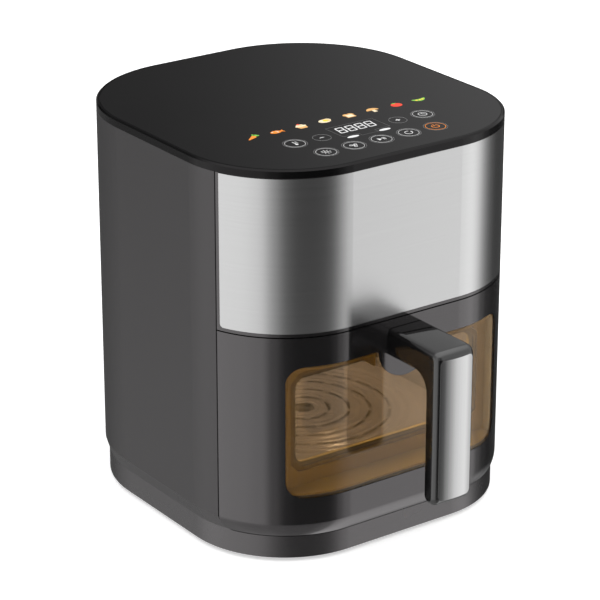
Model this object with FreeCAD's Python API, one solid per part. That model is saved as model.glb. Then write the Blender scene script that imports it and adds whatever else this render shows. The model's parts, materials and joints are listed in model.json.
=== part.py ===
"""Air fryer with a windowed drawer: one solid, or one group of solids, for each piece.

Millimetres, +Z up, the front faces -Y. Every piece is drawn about the body's own centre line and moved
back by one common amount at the end, so that the origin lies under the middle of the whole object.
"""
import FreeCAD, Part
import math
import os

from FreeCAD import Vector

# Body
WIDTH = 273.0
DEPTH = 285.0
HEIGHT = 316.0
FRONT_RADIUS = 86.0
REAR_RADIUS = 100.0
SHELL_WALL = 2.6
SEAM_BACK = 58.5
SEAM_GAP = 1.0
FIT = 0.3
SNUG = 0.1

# Base and feet
FOOT_HEIGHT = 3.5
FOOT_RADIUS = 11.0
FOOT_SIDES = 12
FOOT_X = 78.0
FOOT_IN = 48.0
BASE_TOP = 32.5
BASE_FLOOR = 3.0
BASE_WALL = 2.5
BASE_INSET = 3.0
BASE_DECK = 2.5
RIB_X = 30.0
RIB_WIDTH = 2.0
RIB_HEIGHT = 9.0
INTAKE_COUNT = 5
INTAKE_PITCH = 9.0
INTAKE_WIDTH = 4.0
INTAKE_LENGTH = 46.0
POST_X = 60.0
POST_IN = 30.0
POST_HALF = 5.0

# Top
CAP_HEIGHT = 6.5
CAP_EDGE = 1.2
CAP_RIM = 2.6
PANEL_THICK = 2.0
SKIRT_THICK = 2.0
SKIRT_HALF = 34.0
SKIRT_DEPTH = 6.0
DISPLAY_BACK = 64.7
DISPLAY_HALF_X = 24.0
DISPLAY_HALF_Y = 9.0

# Upper front
UPPER_FRONT = 131.0
PANEL_GAP = 1.0
FASCIA_WALL = 3.2
FASCIA_FLOOR = 2.5
TONGUE_THICK = 2.0
TONGUE_REACH = 8.0
STEEL_THICK = 0.7
STEEL_SIDE = 2.4
STEEL_LIFT = 2.5
STEEL_TOP_GAP = 0.5
STEEL_CORNER = 3.0

# Drawer front
DRAWER_BOTTOM = 22.3
DRAWER_WALL = 3.0
DRAWER_LID = 3.0
DRAWER_FLOOR = 3.5
ROLL_INSET = 2.5
LIP_GAP = 0.8
COVER_THICK = 3.0
COVER_RECESS = 4.5
COVER_CORNER = 2.0

# Window
WINDOW_HALF = 100.0
WINDOW_LOW = 54.0
WINDOW_DROP = 23.0
WINDOW_CORNER = 14.0
TONGUE_RADIUS = 25.0
TONGUE_CORNER = 3.0
GLASS_SINK = 0.5
GLASS_THICK = 2.3
SURROUND_IN = 2.0
SURROUND_WALL = 1.5
SURROUND_BACK = 1.0

# Basket and its window
SIDE_ROOM = 32.5
FRONT_ROOM = 26.5
REAR_ROOM = 44.5
BASKET_LOW = 42.0
BASKET_DROP = 9.0
BASKET_WALL = 1.2
BASKET_FRONT_RADIUS = 18.0
BASKET_REAR_RADIUS = 45.0
HEM_OUT = 1.5
HEM_HEIGHT = 1.5
SIGHT_HALF = 83.0
SIGHT_LOW = 75.0
SIGHT_DROP = 18.0
SIGHT_CORNER = 8.0
SIGHT_CLIP = 8.0
SEAL_DEPTH = 6.0
SEAL_BAND = 6.0
SEAL_PROUD = 1.2
INNER_GLASS_THICK = 3.0
INNER_GLASS_HOLD = 3.0

# Crisper plate
PLATE_LOW = 60.0
PLATE_THICK = 1.5
PLATE_SIDE_GAP = 2.0
PLATE_FRONT_GAP = 4.5
PLATE_EYE = 9.0
SLOT_RADIUS = 21.0
SLOT_PITCH = 16.0
SLOT_WIDTH = 4.5
SLOT_BRIDGE = 12.0
SLOT_RINGS = 4
SLOT_COUNT = 4
SLOT_COUNT_STEP = 1
STUD_HALF = 5.0
STUD_NECK = 3.0
STUD_HEAD = 1.6
STUD_IN = 20.0

# Handle
HANDLE_REACH = 61.0
HANDLE_HALF = 17.75
ARM_DROP = 7.0
ARM_DEPTH = 22.0
GRIP_LOW = 53.0
GRIP_THICK = 16.0
HANDLE_EDGE = 3.4
HANDLE_CORNER = 7.0
HANDLE_BEND = 14.0
INLAY_SIDE = 3.6
INLAY_END = 4.0
INLAY_CORNER = 3.5
INLAY_SINK = 0.8
INLAY_CROWN = 1.2
BRACKET_HALF = 15.5
BRACKET_SHEET = 2.0
BRACKET_DROP = 4.5
BRACKET_HEIGHT = 19.0
BRACKET_EAR = 30.0
BRACKET_LEG = 6.5

# Drawer bay and chamber
BAY_THICK = 4.0
BAY_LINTEL = 5.0
BAY_CORNER = 10.0
CHAMBER_LOW = 34.5
CHAMBER_GAP = 4.0
CHAMBER_REAR_GAP = 6.0
SHEET = 1.0
FLANGE = 6.0
FLANGE_CORNER = 30.0
RUNNER_X = 60.0
RUNNER_WIDTH = 10.0
SWITCH_IN = 17.5
SWITCH_DROP = 25.0
SWITCH_HALF_X = 5.0
SWITCH_HALF_Z = 11.0
SWITCH_DEPTH = 15.0
PLUNGER_HALF = 2.2
PLUNGER_BORE = 9.0
PLUNGER_TRAVEL = 2.0

# Heater
DOME_HEIGHT = 36.0
DOME_SLOPE = 10.0
DOME_CORNER = 40.0
GUARD_BAR = 3.0
GUARD_BARS = 7
GUARD_PITCH = 23.0
GUARD_HALF = 80.0
GUARD_RAIL_X = 50.0
GUARD_BELOW = 0.5
ELEMENT_HALF = 2.6
ELEMENT_ABOVE = 10.0
ELEMENT_SIDES = 24
ELEMENT_ROOM = 14.75
ELEMENT_CLEAR = 13.0
ELEMENT_GAP_DEG = 16.0
ELEMENT_LEG = 9.0
SHIELD_ABOVE = 12.0
SHIELD_SHEET = 1.5
SHIELD_IN = 11.5
SHIELD_CORNER = 65.0
SPACER_HALF = 5.0
SPACER_X = 78.0
SPACER_FRONT = 34.0
SPACER_REAR = 50.0

# Fan and motor
SHAFT_RADIUS = 3.0
RUNNING = 0.06
FAN_HUB = 9.0
FAN_HEIGHT = 11.0
FAN_BELOW = 5.0
FAN_BLADES = 9
FAN_SHEET = 1.2
FAN_REACH = 4.5
FAN_SKEW = 12.0
MOTOR_ABOVE = 12.0
MOTOR_PLATE = 2.5
MOTOR_LEG = 4.0
MOTOR_LEG_X = 33.0
MOTOR_LEG_Y = 23.0
STATOR_HALF = 27.0
STATOR_HEIGHT = 20.0
ROTOR_RADIUS = 16.0
ROTOR_SLOTS = 16
AIR_GAP = 0.5
CAP_PLATE = 3.0
BUSH_HALF = 7.0
COOLING_RADIUS = 42.0
COOLING_HUB = 12.0
COOLING_HEIGHT = 11.0
COOLING_BLADES = 5
COOLING_PITCH_DEG = 32.0
COOLING_FILL = 0.85
COOLING_GAP = 5.0

# Electrics
BOARD = 1.6
BOARD_HANG = 6.0
BOARD_HALF_X = 84.0
BOARD_FRONT = 24.0
BOARD_LENGTH = 74.0
BOSS_HALF = 3.0
BOSS_IN = 6.0
PAD_HALF = 4.5
KEY_ROW_BACK = 60.0
KEY_ROW_X = (-60.0, -36.0, 36.0, 60.0)
KEY_FRONT_BACK = 31.5
KEY_FRONT_X = (-51.0, -25.5, 0.0, 25.5, 51.0)
POWER_IN = 26.0
POWER_WIDTH = 52.0
POWER_LENGTH = 84.0
POWER_STAND = 9.0
RELAY_WIDTH = 18.0
RELAY_LENGTH = 14.0
RELAY_HEIGHT = 16.0
CAPACITOR_HALF = 7.0
CAPACITOR_HEIGHT = 20.0
PROBE_HALF = 2.2
PROBE_BELOW = 13.0
PROBE_ABOVE = 9.0
PROBE_IN = 26.0
FUSE_HALF = 3.0
FUSE_LENGTH = 22.0
FUSE_Y = 48.0
LAMP_X = 58.0
LAMP_Y = 48.0
LENS_HALF = 12.0
LENS_SEAT = 3.0
LENS_THICK = 2.0
BULB_HALF = 4.0
LAMP_BASE = 8.0
LAMP_BASE_HEIGHT = 4.5

# Rear
VENT_ROOM = 2.5
VENT_DROP = 23.5
VENT_HEIGHT = 60.0
VENT_SLATS = 8
VENT_SLAT = 3.2
VENT_EDGE = 5.0
VENT_FLANGE = 3.0
VENT_BACK = 1.4
GLAND_ROOM = 2.0
GLAND_Z = 52.0
GLAND_HALF = 7.0
GLAND_BORE = 3.6
GLAND_SIDES = 12
GLAND_FLANGE = 10.5
GLAND_LIP = 1.5

# Planes and levels that follow from the sizes above
half_width = WIDTH / 2
front_y = -DEPTH / 2
rear_y = DEPTH / 2
seam_y = front_y + SEAM_BACK
shell_front = seam_y + SEAM_GAP / 2
front_back = seam_y - SEAM_GAP / 2
cap_z = HEIGHT - CAP_HEIGHT
drawer_top = HEIGHT - UPPER_FRONT
fascia_z = drawer_top + PANEL_GAP
window_high = drawer_top - WINDOW_DROP
sight_high = window_high - SIGHT_DROP
basket_high = drawer_top - BASKET_DROP
arm_high = drawer_top - ARM_DROP
vent_high = cap_z - VENT_DROP
vent_low = vent_high - VENT_HEIGHT
rear_flat = half_width - REAR_RADIUS
vent_half = rear_flat - VENT_FLANGE - VENT_ROOM
gland_x = rear_flat - GLAND_FLANGE - GLAND_ROOM
base_lip = DRAWER_BOTTOM - LIP_GAP
bay_back = shell_front + BAY_THICK
basket_half = half_width - SIDE_ROOM
basket_front = front_y + FRONT_ROOM
basket_rear = rear_y - REAR_ROOM
chamber_half = basket_half + CHAMBER_GAP
chamber_rear = basket_rear + CHAMBER_REAR_GAP
probe_x = chamber_half - PROBE_IN
chamber_top = fascia_z
oven_y = (bay_back + chamber_rear) / 2
dome_top = chamber_top + DOME_HEIGHT
shield_low = dome_top + SHIELD_ABOVE
shield_top = shield_low + SHIELD_SHEET
motor_low = shield_top + MOTOR_ABOVE
stator_low = motor_low + MOTOR_PLATE
stator_high = stator_low + STATOR_HEIGHT
motor_high = stator_high + CAP_PLATE
cooling_low = motor_high + COOLING_GAP
element_z = chamber_top + ELEMENT_ABOVE
element_radius = (chamber_rear - bay_back) / 2 - ELEMENT_ROOM
fan_radius = element_radius - ELEMENT_CLEAR
fan_high = dome_top - SHEET - FAN_BELOW
fan_low = fan_high - FAN_HEIGHT
deck_high = HEIGHT - PANEL_THICK
board_high = cap_z - BOARD_HANG
surround_rear = basket_front - HEM_OUT + FIT
seal_front = basket_front - SEAL_PROUD
grip_front = front_y - HANDLE_REACH
grip_back = grip_front + GRIP_THICK
arm_low = arm_high - ARM_DEPTH
cover_back = front_back - COVER_RECESS
cover_front = cover_back - COVER_THICK
plate_high = PLATE_LOW + PLATE_THICK
plate_y = (basket_front + basket_rear) / 2
body_shift = (HANDLE_REACH + INLAY_CROWN - GLAND_LIP) / 2
far = WIDTH + DEPTH + HEIGHT


# Drawing helpers
def rounded_wire(corners):
    """Closed wire through (point, radius) corners, each rounded by its own radius or left sharp at 0."""
    arcs = []
    for index, (point, radius) in enumerate(corners):
        back = corners[index - 1][0] - point
        ahead = corners[(index + 1) % len(corners)][0] - point
        back = back * (1 / back.Length)
        ahead = ahead * (1 / ahead.Length)
        half = back.getAngle(ahead) / 2
        inward = back + ahead
        inward = inward * (1 / inward.Length)
        reach = radius / math.tan(half)
        nearest = radius / math.sin(half) - radius
        arcs.append((point + back * reach, point + inward * nearest, point + ahead * reach))
    edges = []
    for index, (start, middle, end) in enumerate(arcs):
        if corners[index][1] > 0:
            edges.append(Part.Arc(start, middle, end).toShape())
        following = arcs[(index + 1) % len(arcs)][0]
        if end.distanceToPoint(following) > FIT / 100:
            edges.append(Part.makeLine(end, following))
    return Part.Wire(edges)


def flat_loop(half, y0, y1, front_radius, rear_radius, z):
    """Rounded rectangle lying at height z."""
    return rounded_wire([
        (Vector(half, y0, z), front_radius), (Vector(half, y1, z), rear_radius),
        (Vector(-half, y1, z), rear_radius), (Vector(-half, y0, z), front_radius)])


def slab(half, y0, y1, front_radius, rear_radius, z0, z1):
    """Upright block on a rounded rectangle."""
    face = Part.Face(flat_loop(half, y0, y1, front_radius, rear_radius, z0))
    return face.extrude(Vector(0, 0, z1 - z0))


def body_loop(inset, z):
    return flat_loop(half_width - inset, front_y + inset, rear_y - inset,
                     FRONT_RADIUS - inset, REAR_RADIUS - inset, z)


def body_slab(inset, z0, z1):
    """Block on the body's outline, drawn in by inset."""
    return Part.Face(body_loop(inset, z0)).extrude(Vector(0, 0, z1 - z0))


def body_band(outer, inner, z0, z1):
    """Wall that follows the body's outline between two insets."""
    return body_slab(outer, z0, z1).cut(body_slab(inner, z0, z1))


def box(x0, x1, y0, y1, z0, z1):
    return Part.makeBox(x1 - x0, y1 - y0, z1 - z0, Vector(x0, y0, z0))


def block_at(x, y, half, z0, z1):
    """Upright square post."""
    return box(x - half, x + half, y - half, y + half, z0, z1)


def prism(radius, sides, z0, z1, x=0, y=oven_y):
    """Upright block with that many sides, about the oven's axis unless a place is given."""
    corners = []
    for index in range(sides + 1):
        angle = 2 * math.pi * (index + 0.5) / sides
        corners.append(Vector(x + radius * math.cos(angle), y + radius * math.sin(angle), z0))
    return Part.Face(Part.makePolygon(corners)).extrude(Vector(0, 0, z1 - z0))


def shaft_bore(clearance, z0, z1):
    """Bore with many flats, each clear of the shaft by the clearance."""
    flat = SHAFT_RADIUS + clearance
    return prism(flat / math.cos(math.pi / ROTOR_SLOTS), ROTOR_SLOTS, z0, z1)


def clipped(half, y0, y1, corner, z):
    """Rectangle at height z with its corners cut off at 45 degrees."""
    points = [(half - corner, y0), (half, y0 + corner), (half, y1 - corner), (half - corner, y1),
              (corner - half, y1), (-half, y1 - corner), (-half, y0 + corner), (corner - half, y0)]
    return Part.makePolygon([Vector(x, y, z) for x, y in points + points[:1]])


def ahead_of(y, shape):
    return shape.common(box(-far, far, -far, y, -far, far))


def behind(y, shape):
    return shape.common(box(-far, far, y, far, -far, far))


def rod(radius, x, y, z0, z1):
    """Upright cylinder."""
    return Part.makeCylinder(radius, z1 - z0, Vector(x, y, z0))


def bar(radius, x, z, y0, y1):
    """Cylinder along Y."""
    return Part.makeCylinder(radius, y1 - y0, Vector(x, y0, z), Vector(0, 1, 0))


def panel(half, z0, z1, corner, y0, y1):
    """Upright rounded rectangle, square to Y."""
    wire = rounded_wire([
        (Vector(half, y0, z0), corner), (Vector(half, y0, z1), corner),
        (Vector(-half, y0, z1), corner), (Vector(-half, y0, z0), corner)])
    return Part.Face(wire).extrude(Vector(0, y1 - y0, 0))


def clipped_panel(half, z0, z1, corner, y0, y1):
    """Upright rectangle with its corners cut off at 45 degrees, square to Y."""
    points = [(half - corner, z0), (half, z0 + corner), (half, z1 - corner), (half - corner, z1),
              (corner - half, z1), (-half, z1 - corner), (-half, z0 + corner), (corner - half, z0)]
    wire = Part.makePolygon([Vector(x, y0, z) for x, z in points + points[:1]])
    return Part.Face(wire).extrude(Vector(0, y1 - y0, 0))


def fused(shapes):
    return shapes[0].multiFuse(shapes[1:]).removeSplitter()


def bottom_edges(shape):
    low = shape.BoundBox.ZMin
    return [edge for edge in shape.Edges if edge.BoundBox.ZMax < low + FIT / 100]


def top_edges(shape):
    high = shape.BoundBox.ZMax
    return [edge for edge in shape.Edges if edge.BoundBox.ZMin > high - FIT / 100]


def front_region(y_edge, z_low, corner, z_high):
    """All that lies ahead of y_edge and between two heights, its lower rear corner rounded in side view."""
    points = [Vector(-far, -far, z_low), Vector(-far, y_edge, z_low),
              Vector(-far, y_edge, z_high), Vector(-far, -far, z_high)]
    start = Vector(-far, y_edge - corner, z_low)
    end = Vector(-far, y_edge, z_low + corner)
    bow = corner * (1 - math.sqrt(0.5))
    middle = Vector(-far, y_edge - bow, z_low + bow)
    wire = Part.Wire([
        Part.makeLine(points[0], start), Part.Arc(start, middle, end).toShape(),
        Part.makeLine(end, points[2]), Part.makeLine(points[2], points[3]),
        Part.makeLine(points[3], points[0])])
    return Part.Face(wire).extrude(Vector(2 * far, 0, 0))


def four(x, y0, y1):
    """The four points of a rectangle that is symmetric about the centre line."""
    return [(-x, y0), (x, y0), (-x, y1), (x, y1)]


# Base
def base_loft():
    """Outer form of the base: upright as far as the drawer's bottom and then flared out to the shell."""
    flare = Part.makeLoft([body_loop(BASE_INSET, DRAWER_BOTTOM), body_loop(0, BASE_TOP)], True, True)
    return body_slab(BASE_INSET, FOOT_HEIGHT, DRAWER_BOTTOM).fuse(flare)


def foot_points():
    return four(FOOT_X, front_y + FOOT_IN, rear_y - FOOT_IN)


def post_points():
    return four(POST_X, bay_back + POST_IN, chamber_rear - POST_IN)


def base_tray():
    floor_z = FOOT_HEIGHT + BASE_FLOOR
    outer = base_loft()
    inside = body_slab(BASE_INSET + BASE_WALL, floor_z, BASE_TOP)
    deck = ahead_of(bay_back + BASE_WALL, body_slab(BASE_INSET, base_lip - BASE_DECK, base_lip))
    ribs = [box(x - RIB_WIDTH / 2, x + RIB_WIDTH / 2, front_y + BASE_INSET, rear_y - BASE_INSET,
                FOOT_HEIGHT, floor_z + RIB_HEIGHT) for x in (-RIB_X, RIB_X)]
    posts = [block_at(x, y, POST_HALF, FOOT_HEIGHT, CHAMBER_LOW) for x, y in post_points()]
    tray = fused([outer.cut(inside), deck] + ribs + posts)
    tray = tray.cut(front_region(shell_front, base_lip, BASE_TOP - base_lip, far))
    slots = []
    for index in range(INTAKE_COUNT):
        x = (index - (INTAKE_COUNT - 1) / 2) * INTAKE_PITCH
        slots.append(box(x - INTAKE_WIDTH / 2, x + INTAKE_WIDTH / 2, oven_y - INTAKE_LENGTH / 2,
                         oven_y + INTAKE_LENGTH / 2, 0, floor_z))
    return tray.cut(Part.makeCompound(slots))


def rubber_feet():
    return Part.makeCompound([prism(FOOT_RADIUS, FOOT_SIDES, 0, FOOT_HEIGHT, x, y) for x, y in foot_points()])


# Outer skin
def outer_shell():
    wall = behind(shell_front, body_band(0, SHELL_WALL, BASE_TOP, cap_z))
    vent = box(-vent_half, vent_half, chamber_rear, far, vent_low, vent_high)
    return wall.cut(vent).cut(gland_block(GLAND_HALF + SNUG, chamber_rear, far))


def rear_vent_grille():
    inner = rear_y - SHELL_WALL - SNUG
    plate = box(FIT - vent_half, vent_half - FIT, inner, rear_y, vent_low + FIT, vent_high - FIT)
    flange = box(-vent_half - VENT_FLANGE, vent_half + VENT_FLANGE, inner - VENT_BACK, inner,
                 vent_low - VENT_FLANGE, vent_high + VENT_FLANGE)
    pitch = (vent_high - vent_low - 2 * VENT_EDGE) / VENT_SLATS
    slots = []
    for index in range(VENT_SLATS):
        z = vent_low + VENT_EDGE + index * pitch + VENT_SLAT / 2
        slots.append(box(VENT_EDGE - vent_half, vent_half - VENT_EDGE, inner - VENT_BACK, rear_y,
                         z, z + pitch - VENT_SLAT))
    return fused([plate, flange]).cut(Part.makeCompound(slots))


def gland_block(half, y0, y1):
    return box(gland_x - half, gland_x + half, y0, y1, GLAND_Z - half, GLAND_Z + half)


def cord_gland():
    inner = rear_y - SHELL_WALL - SNUG
    body = gland_block(GLAND_HALF, inner, rear_y + SNUG)
    outside = gland_block(GLAND_FLANGE, rear_y + SNUG, rear_y + GLAND_LIP)
    inside = gland_block(GLAND_FLANGE, inner - GLAND_LIP, inner)
    bore = prism(GLAND_BORE, GLAND_SIDES, -far, far, 0, 0)
    bore.rotate(Vector(), Vector(1, 0, 0), 90)
    bore.translate(Vector(gland_x, 0, GLAND_Z))
    return fused([body, outside, inside]).cut(bore)


def top_cover():
    block = body_slab(0, cap_z, HEIGHT)
    block = block.makeChamfer(CAP_EDGE, top_edges(block))
    block = block.cut(body_slab(CAP_RIM, deck_high, HEIGHT))
    bosses = [block_at(x, y, BOSS_HALF, board_high, cap_z) for x, y in board_points()]
    cover = fused([block] + cap_ribs() + bosses)
    display_y = front_y + DISPLAY_BACK
    return cover.cut(box(-DISPLAY_HALF_X, DISPLAY_HALF_X, display_y - DISPLAY_HALF_Y,
                         display_y + DISPLAY_HALF_Y, cap_z, deck_high))


def cap_ribs():
    """Ribs that locate the cap inside the flat stretches of the shell and the fascia."""
    low = cap_z - SKIRT_DEPTH
    side = half_width - SHELL_WALL - FIT
    back = rear_y - SHELL_WALL - FIT
    front = front_y + FASCIA_WALL + FIT
    return [box(side - SKIRT_THICK, side, -SKIRT_HALF, SKIRT_HALF, low, cap_z),
            box(-side, SKIRT_THICK - side, -SKIRT_HALF, SKIRT_HALF, low, cap_z),
            box(-SKIRT_HALF, SKIRT_HALF, back - SKIRT_THICK, back, low, cap_z),
            box(-SKIRT_HALF, SKIRT_HALF, front, front + SKIRT_THICK, low, cap_z)]


def control_panel():
    return body_slab(CAP_RIM + FIT, deck_high, HEIGHT)


def front_fascia():
    wall = ahead_of(front_back, body_band(0, FASCIA_WALL, fascia_z, cap_z))
    floor = ahead_of(front_back, body_slab(0, fascia_z, fascia_z + FASCIA_FLOOR))
    behind_seam = SHELL_WALL + FIT
    shelf = ahead_of(bay_back, body_slab(behind_seam, fascia_z, fascia_z + FASCIA_FLOOR))
    tongue = body_band(behind_seam, behind_seam + TONGUE_THICK, fascia_z, cap_z - SKIRT_DEPTH - FIT)
    tongue = behind(front_back - TONGUE_REACH, ahead_of(shell_front + TONGUE_REACH, tongue))
    fascia = fused([wall, floor, shelf, tongue])
    return fascia.cut(steel_region(STEEL_THICK + SNUG, 0))


def steel_region(depth, trim):
    """Stretch of the front skin that the steel covers, trimmed by a clearance."""
    skin = body_band(0, depth, fascia_z + STEEL_LIFT + trim, cap_z - trim)
    edge = front_back - STEEL_SIDE - trim
    return skin.common(front_region(edge, fascia_z + STEEL_LIFT + trim, STEEL_CORNER, cap_z))


def steel_band():
    return steel_region(STEEL_THICK, SNUG).common(box(-far, far, -far, far, 0, cap_z - STEEL_TOP_GAP))


# Drawer bay
def bay_frame():
    low = body_slab(BASE_INSET + BASE_WALL + FIT, base_lip, BASE_TOP + FIT)
    high = body_slab(SHELL_WALL + FIT, BASE_TOP + FIT, fascia_z)
    frame = behind(shell_front, ahead_of(bay_back, low.fuse(high)))
    mouth = panel(chamber_half, CHAMBER_LOW + SHEET, fascia_z - BAY_LINTEL, BAY_CORNER, shell_front, bay_back)
    return frame.cut(mouth).cut(plunger_bar(PLUNGER_HALF + FIT, shell_front, bay_back)).removeSplitter()


def chamber_block(inset, z0, z1):
    return behind(bay_back, slab(chamber_half - inset, 2 * bay_back - chamber_rear, chamber_rear - inset,
                                 BASKET_REAR_RADIUS, BASKET_REAR_RADIUS + CHAMBER_GAP - inset, z0, z1))


def cooking_chamber():
    outer = chamber_block(-SHEET, CHAMBER_LOW, chamber_top)
    edge = clipped(chamber_half + FLANGE, bay_back, chamber_rear + FLANGE, FLANGE_CORNER, chamber_top - SHEET)
    flange = Part.Face(edge).extrude(Vector(0, 0, SHEET))
    return outer.fuse(flange).cut(chamber_block(0, CHAMBER_LOW + SHEET, chamber_top)).removeSplitter()


def drawer_runners():
    low = CHAMBER_LOW + SHEET
    rear = basket_rear - BASKET_REAR_RADIUS / 2
    return Part.makeCompound([box(x - RUNNER_WIDTH / 2, x + RUNNER_WIDTH / 2, bay_back + FIT, rear, low,
                                  BASKET_LOW - FIT) for x in (-RUNNER_X, RUNNER_X)])


def switch_x():
    return half_width - SWITCH_IN


def switch_z():
    return fascia_z - SWITCH_DROP


def plunger_bar(half, y0, y1):
    """Square bar on the switch's axis."""
    return box(switch_x() - half, switch_x() + half, y0, y1, switch_z() - half, switch_z() + half)


def drawer_switch():
    x, z = switch_x(), switch_z()
    block = box(x - SWITCH_HALF_X, x + SWITCH_HALF_X, bay_back, bay_back + SWITCH_DEPTH,
                z - SWITCH_HALF_Z, z + SWITCH_HALF_Z)
    return block.cut(plunger_bar(PLUNGER_HALF + FIT, bay_back, bay_back + PLUNGER_BORE))


def switch_plunger():
    return plunger_bar(PLUNGER_HALF, cover_back + FIT, bay_back + PLUNGER_BORE - PLUNGER_TRAVEL - 2 * FIT)


# Heater
def heater_dome():
    """Folded pan over the chamber, with clipped corners and a sloping top edge."""
    def pan(inset, top):
        outline = clipped(chamber_half - inset, bay_back + FIT + inset, chamber_rear - inset, DOME_CORNER,
                          chamber_top)
        block = Part.Face(outline).extrude(Vector(0, 0, top - chamber_top))
        return block.makeChamfer(DOME_SLOPE, top_edges(block))
    edge = clipped(chamber_half + FLANGE, bay_back + FIT, chamber_rear + FLANGE, DOME_CORNER, chamber_top)
    flange = Part.Face(edge).extrude(Vector(0, 0, SHEET))
    dome = pan(0, dome_top).fuse(flange).cut(pan(SHEET, dome_top - SHEET)).removeSplitter()
    holes = [rod(SHAFT_RADIUS + 4 * FIT, 0, oven_y, fan_high, far),
             block_at(probe_x, oven_y, PROBE_HALF + FIT, fan_high, far),
             block_at(LAMP_X, oven_y - LAMP_Y, LENS_HALF - LENS_SEAT, fan_high, far)]
    holes += [block_at(x, y, ELEMENT_HALF + FIT, fan_high, far) for x, y in element_feet()]
    return dome.cut(Part.makeCompound(holes))


def element_feet():
    """The two ends of the element's ring, where its legs stand."""
    gap = math.radians(ELEMENT_GAP_DEG)
    x, reach = -element_radius * math.cos(gap), element_radius * math.sin(gap)
    return [(x, oven_y - reach), (x, oven_y + reach)]


def heating_element():
    """Open ring round the fan, in short straight lengths, with a leg at each end up through the dome."""
    low, high = element_z - ELEMENT_HALF, element_z + ELEMENT_HALF
    ring = prism(element_radius + ELEMENT_HALF, ELEMENT_SIDES, low, high)
    ring = ring.cut(prism(element_radius - ELEMENT_HALF, ELEMENT_SIDES, low, high))
    (x, y0), (x, y1) = element_feet()
    ring = ring.cut(box(-far, 0, y0, y1, low, high))
    legs = [block_at(x, y, ELEMENT_HALF, low, dome_top + ELEMENT_LEG) for y in (y0, y1)]
    return fused([ring] + legs)


def element_guard():
    """Bars across two rails that hang in the chamber's mouth."""
    z = chamber_top - GUARD_BELOW - GUARD_BAR
    half_bar = GUARD_BAR / 2
    pieces = [box(x - half_bar, x + half_bar, bay_back + FIT, chamber_rear - FIT, z - GUARD_BAR, z)
              for x in (-GUARD_RAIL_X, GUARD_RAIL_X)]
    for index in range(GUARD_BARS):
        y = oven_y + (index - (GUARD_BARS - 1) / 2) * GUARD_PITCH
        pieces.append(box(-GUARD_HALF, GUARD_HALF, y - half_bar, y + half_bar, z, z + GUARD_BAR))
    return fused(pieces)


def heat_shield():
    outline = clipped(half_width - SHIELD_IN, front_y + SHIELD_IN, rear_y - SHIELD_IN, SHIELD_CORNER,
                      shield_low)
    plate = Part.Face(outline).extrude(Vector(0, 0, SHIELD_SHEET))
    spacers = [block_at(x, oven_y + y, SPACER_HALF, dome_top, shield_low)
               for x, y in four(SPACER_X, -SPACER_FRONT, SPACER_REAR)]
    half_x = MOTOR_LEG_X + MOTOR_LEG + FIT
    half_y = MOTOR_LEG_Y + MOTOR_LEG + FIT
    well = box(-half_x, half_x, oven_y - half_y, oven_y + half_y, shield_low, shield_top)
    return fused([plate] + spacers).cut(well)


# Motor and fans
def motor_leg_points():
    return four(MOTOR_LEG_X, oven_y - MOTOR_LEG_Y, oven_y + MOTOR_LEG_Y)


def motor_plate(z0, z1):
    half_x = MOTOR_LEG_X + MOTOR_LEG
    half_y = MOTOR_LEG_Y + MOTOR_LEG
    plate = box(-half_x, half_x, oven_y - half_y, oven_y + half_y, z0, z1)
    return plate.cut(block_at(0, oven_y, BUSH_HALF + SNUG, z0, z1))


def motor_frame():
    legs = [block_at(x, y, MOTOR_LEG, dome_top, motor_low) for x, y in motor_leg_points()]
    return fused([motor_plate(motor_low, stator_low)] + legs)


def motor_end_cap():
    posts = [block_at(x, y, MOTOR_LEG, stator_low, stator_high) for x, y in motor_leg_points()]
    return fused([motor_plate(stator_high, motor_high)] + posts)


def motor_stator():
    half_y = MOTOR_LEG_Y + MOTOR_LEG
    core = box(-STATOR_HALF, STATOR_HALF, oven_y - half_y, oven_y + half_y, stator_low, stator_high)
    return core.cut(prism(ROTOR_RADIUS + AIR_GAP, ROTOR_SLOTS, stator_low, stator_high))


def motor_bearings():
    return Part.makeCompound([
        block_at(0, oven_y, BUSH_HALF, low, high).cut(shaft_bore(RUNNING, low, high))
        for low, high in ((motor_low, stator_low), (stator_high, motor_high))])


def motor_shaft():
    return rod(SHAFT_RADIUS, 0, oven_y, fan_low, cooling_low + COOLING_HEIGHT)


def motor_rotor():
    rotor = prism(ROTOR_RADIUS, ROTOR_SLOTS, stator_low + FIT, stator_high - FIT)
    return rotor.cut(shaft_bore(RUNNING / 2, stator_low, stator_high))


def hot_air_fan():
    """Stamped wheel: a plate with one corner for each blade, and a hub."""
    pieces = [prism(fan_radius, FAN_BLADES, fan_high - FAN_SHEET, fan_high),
              prism(FAN_HUB, FAN_BLADES, fan_low, fan_high)]
    for index in range(FAN_BLADES):
        blade = box(FAN_HUB * 2, fan_radius - FAN_REACH, -FAN_SHEET / 2, FAN_SHEET / 2, fan_low, fan_high)
        blade.translate(Vector(0, FAN_SKEW, 0))
        blade.rotate(Vector(), Vector(0, 0, 1), 360 * index / FAN_BLADES)
        blade.translate(Vector(0, oven_y, 0))
        pieces.append(blade)
    return fused(pieces).cut(shaft_bore(RUNNING / 2, fan_low, fan_high))


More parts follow.
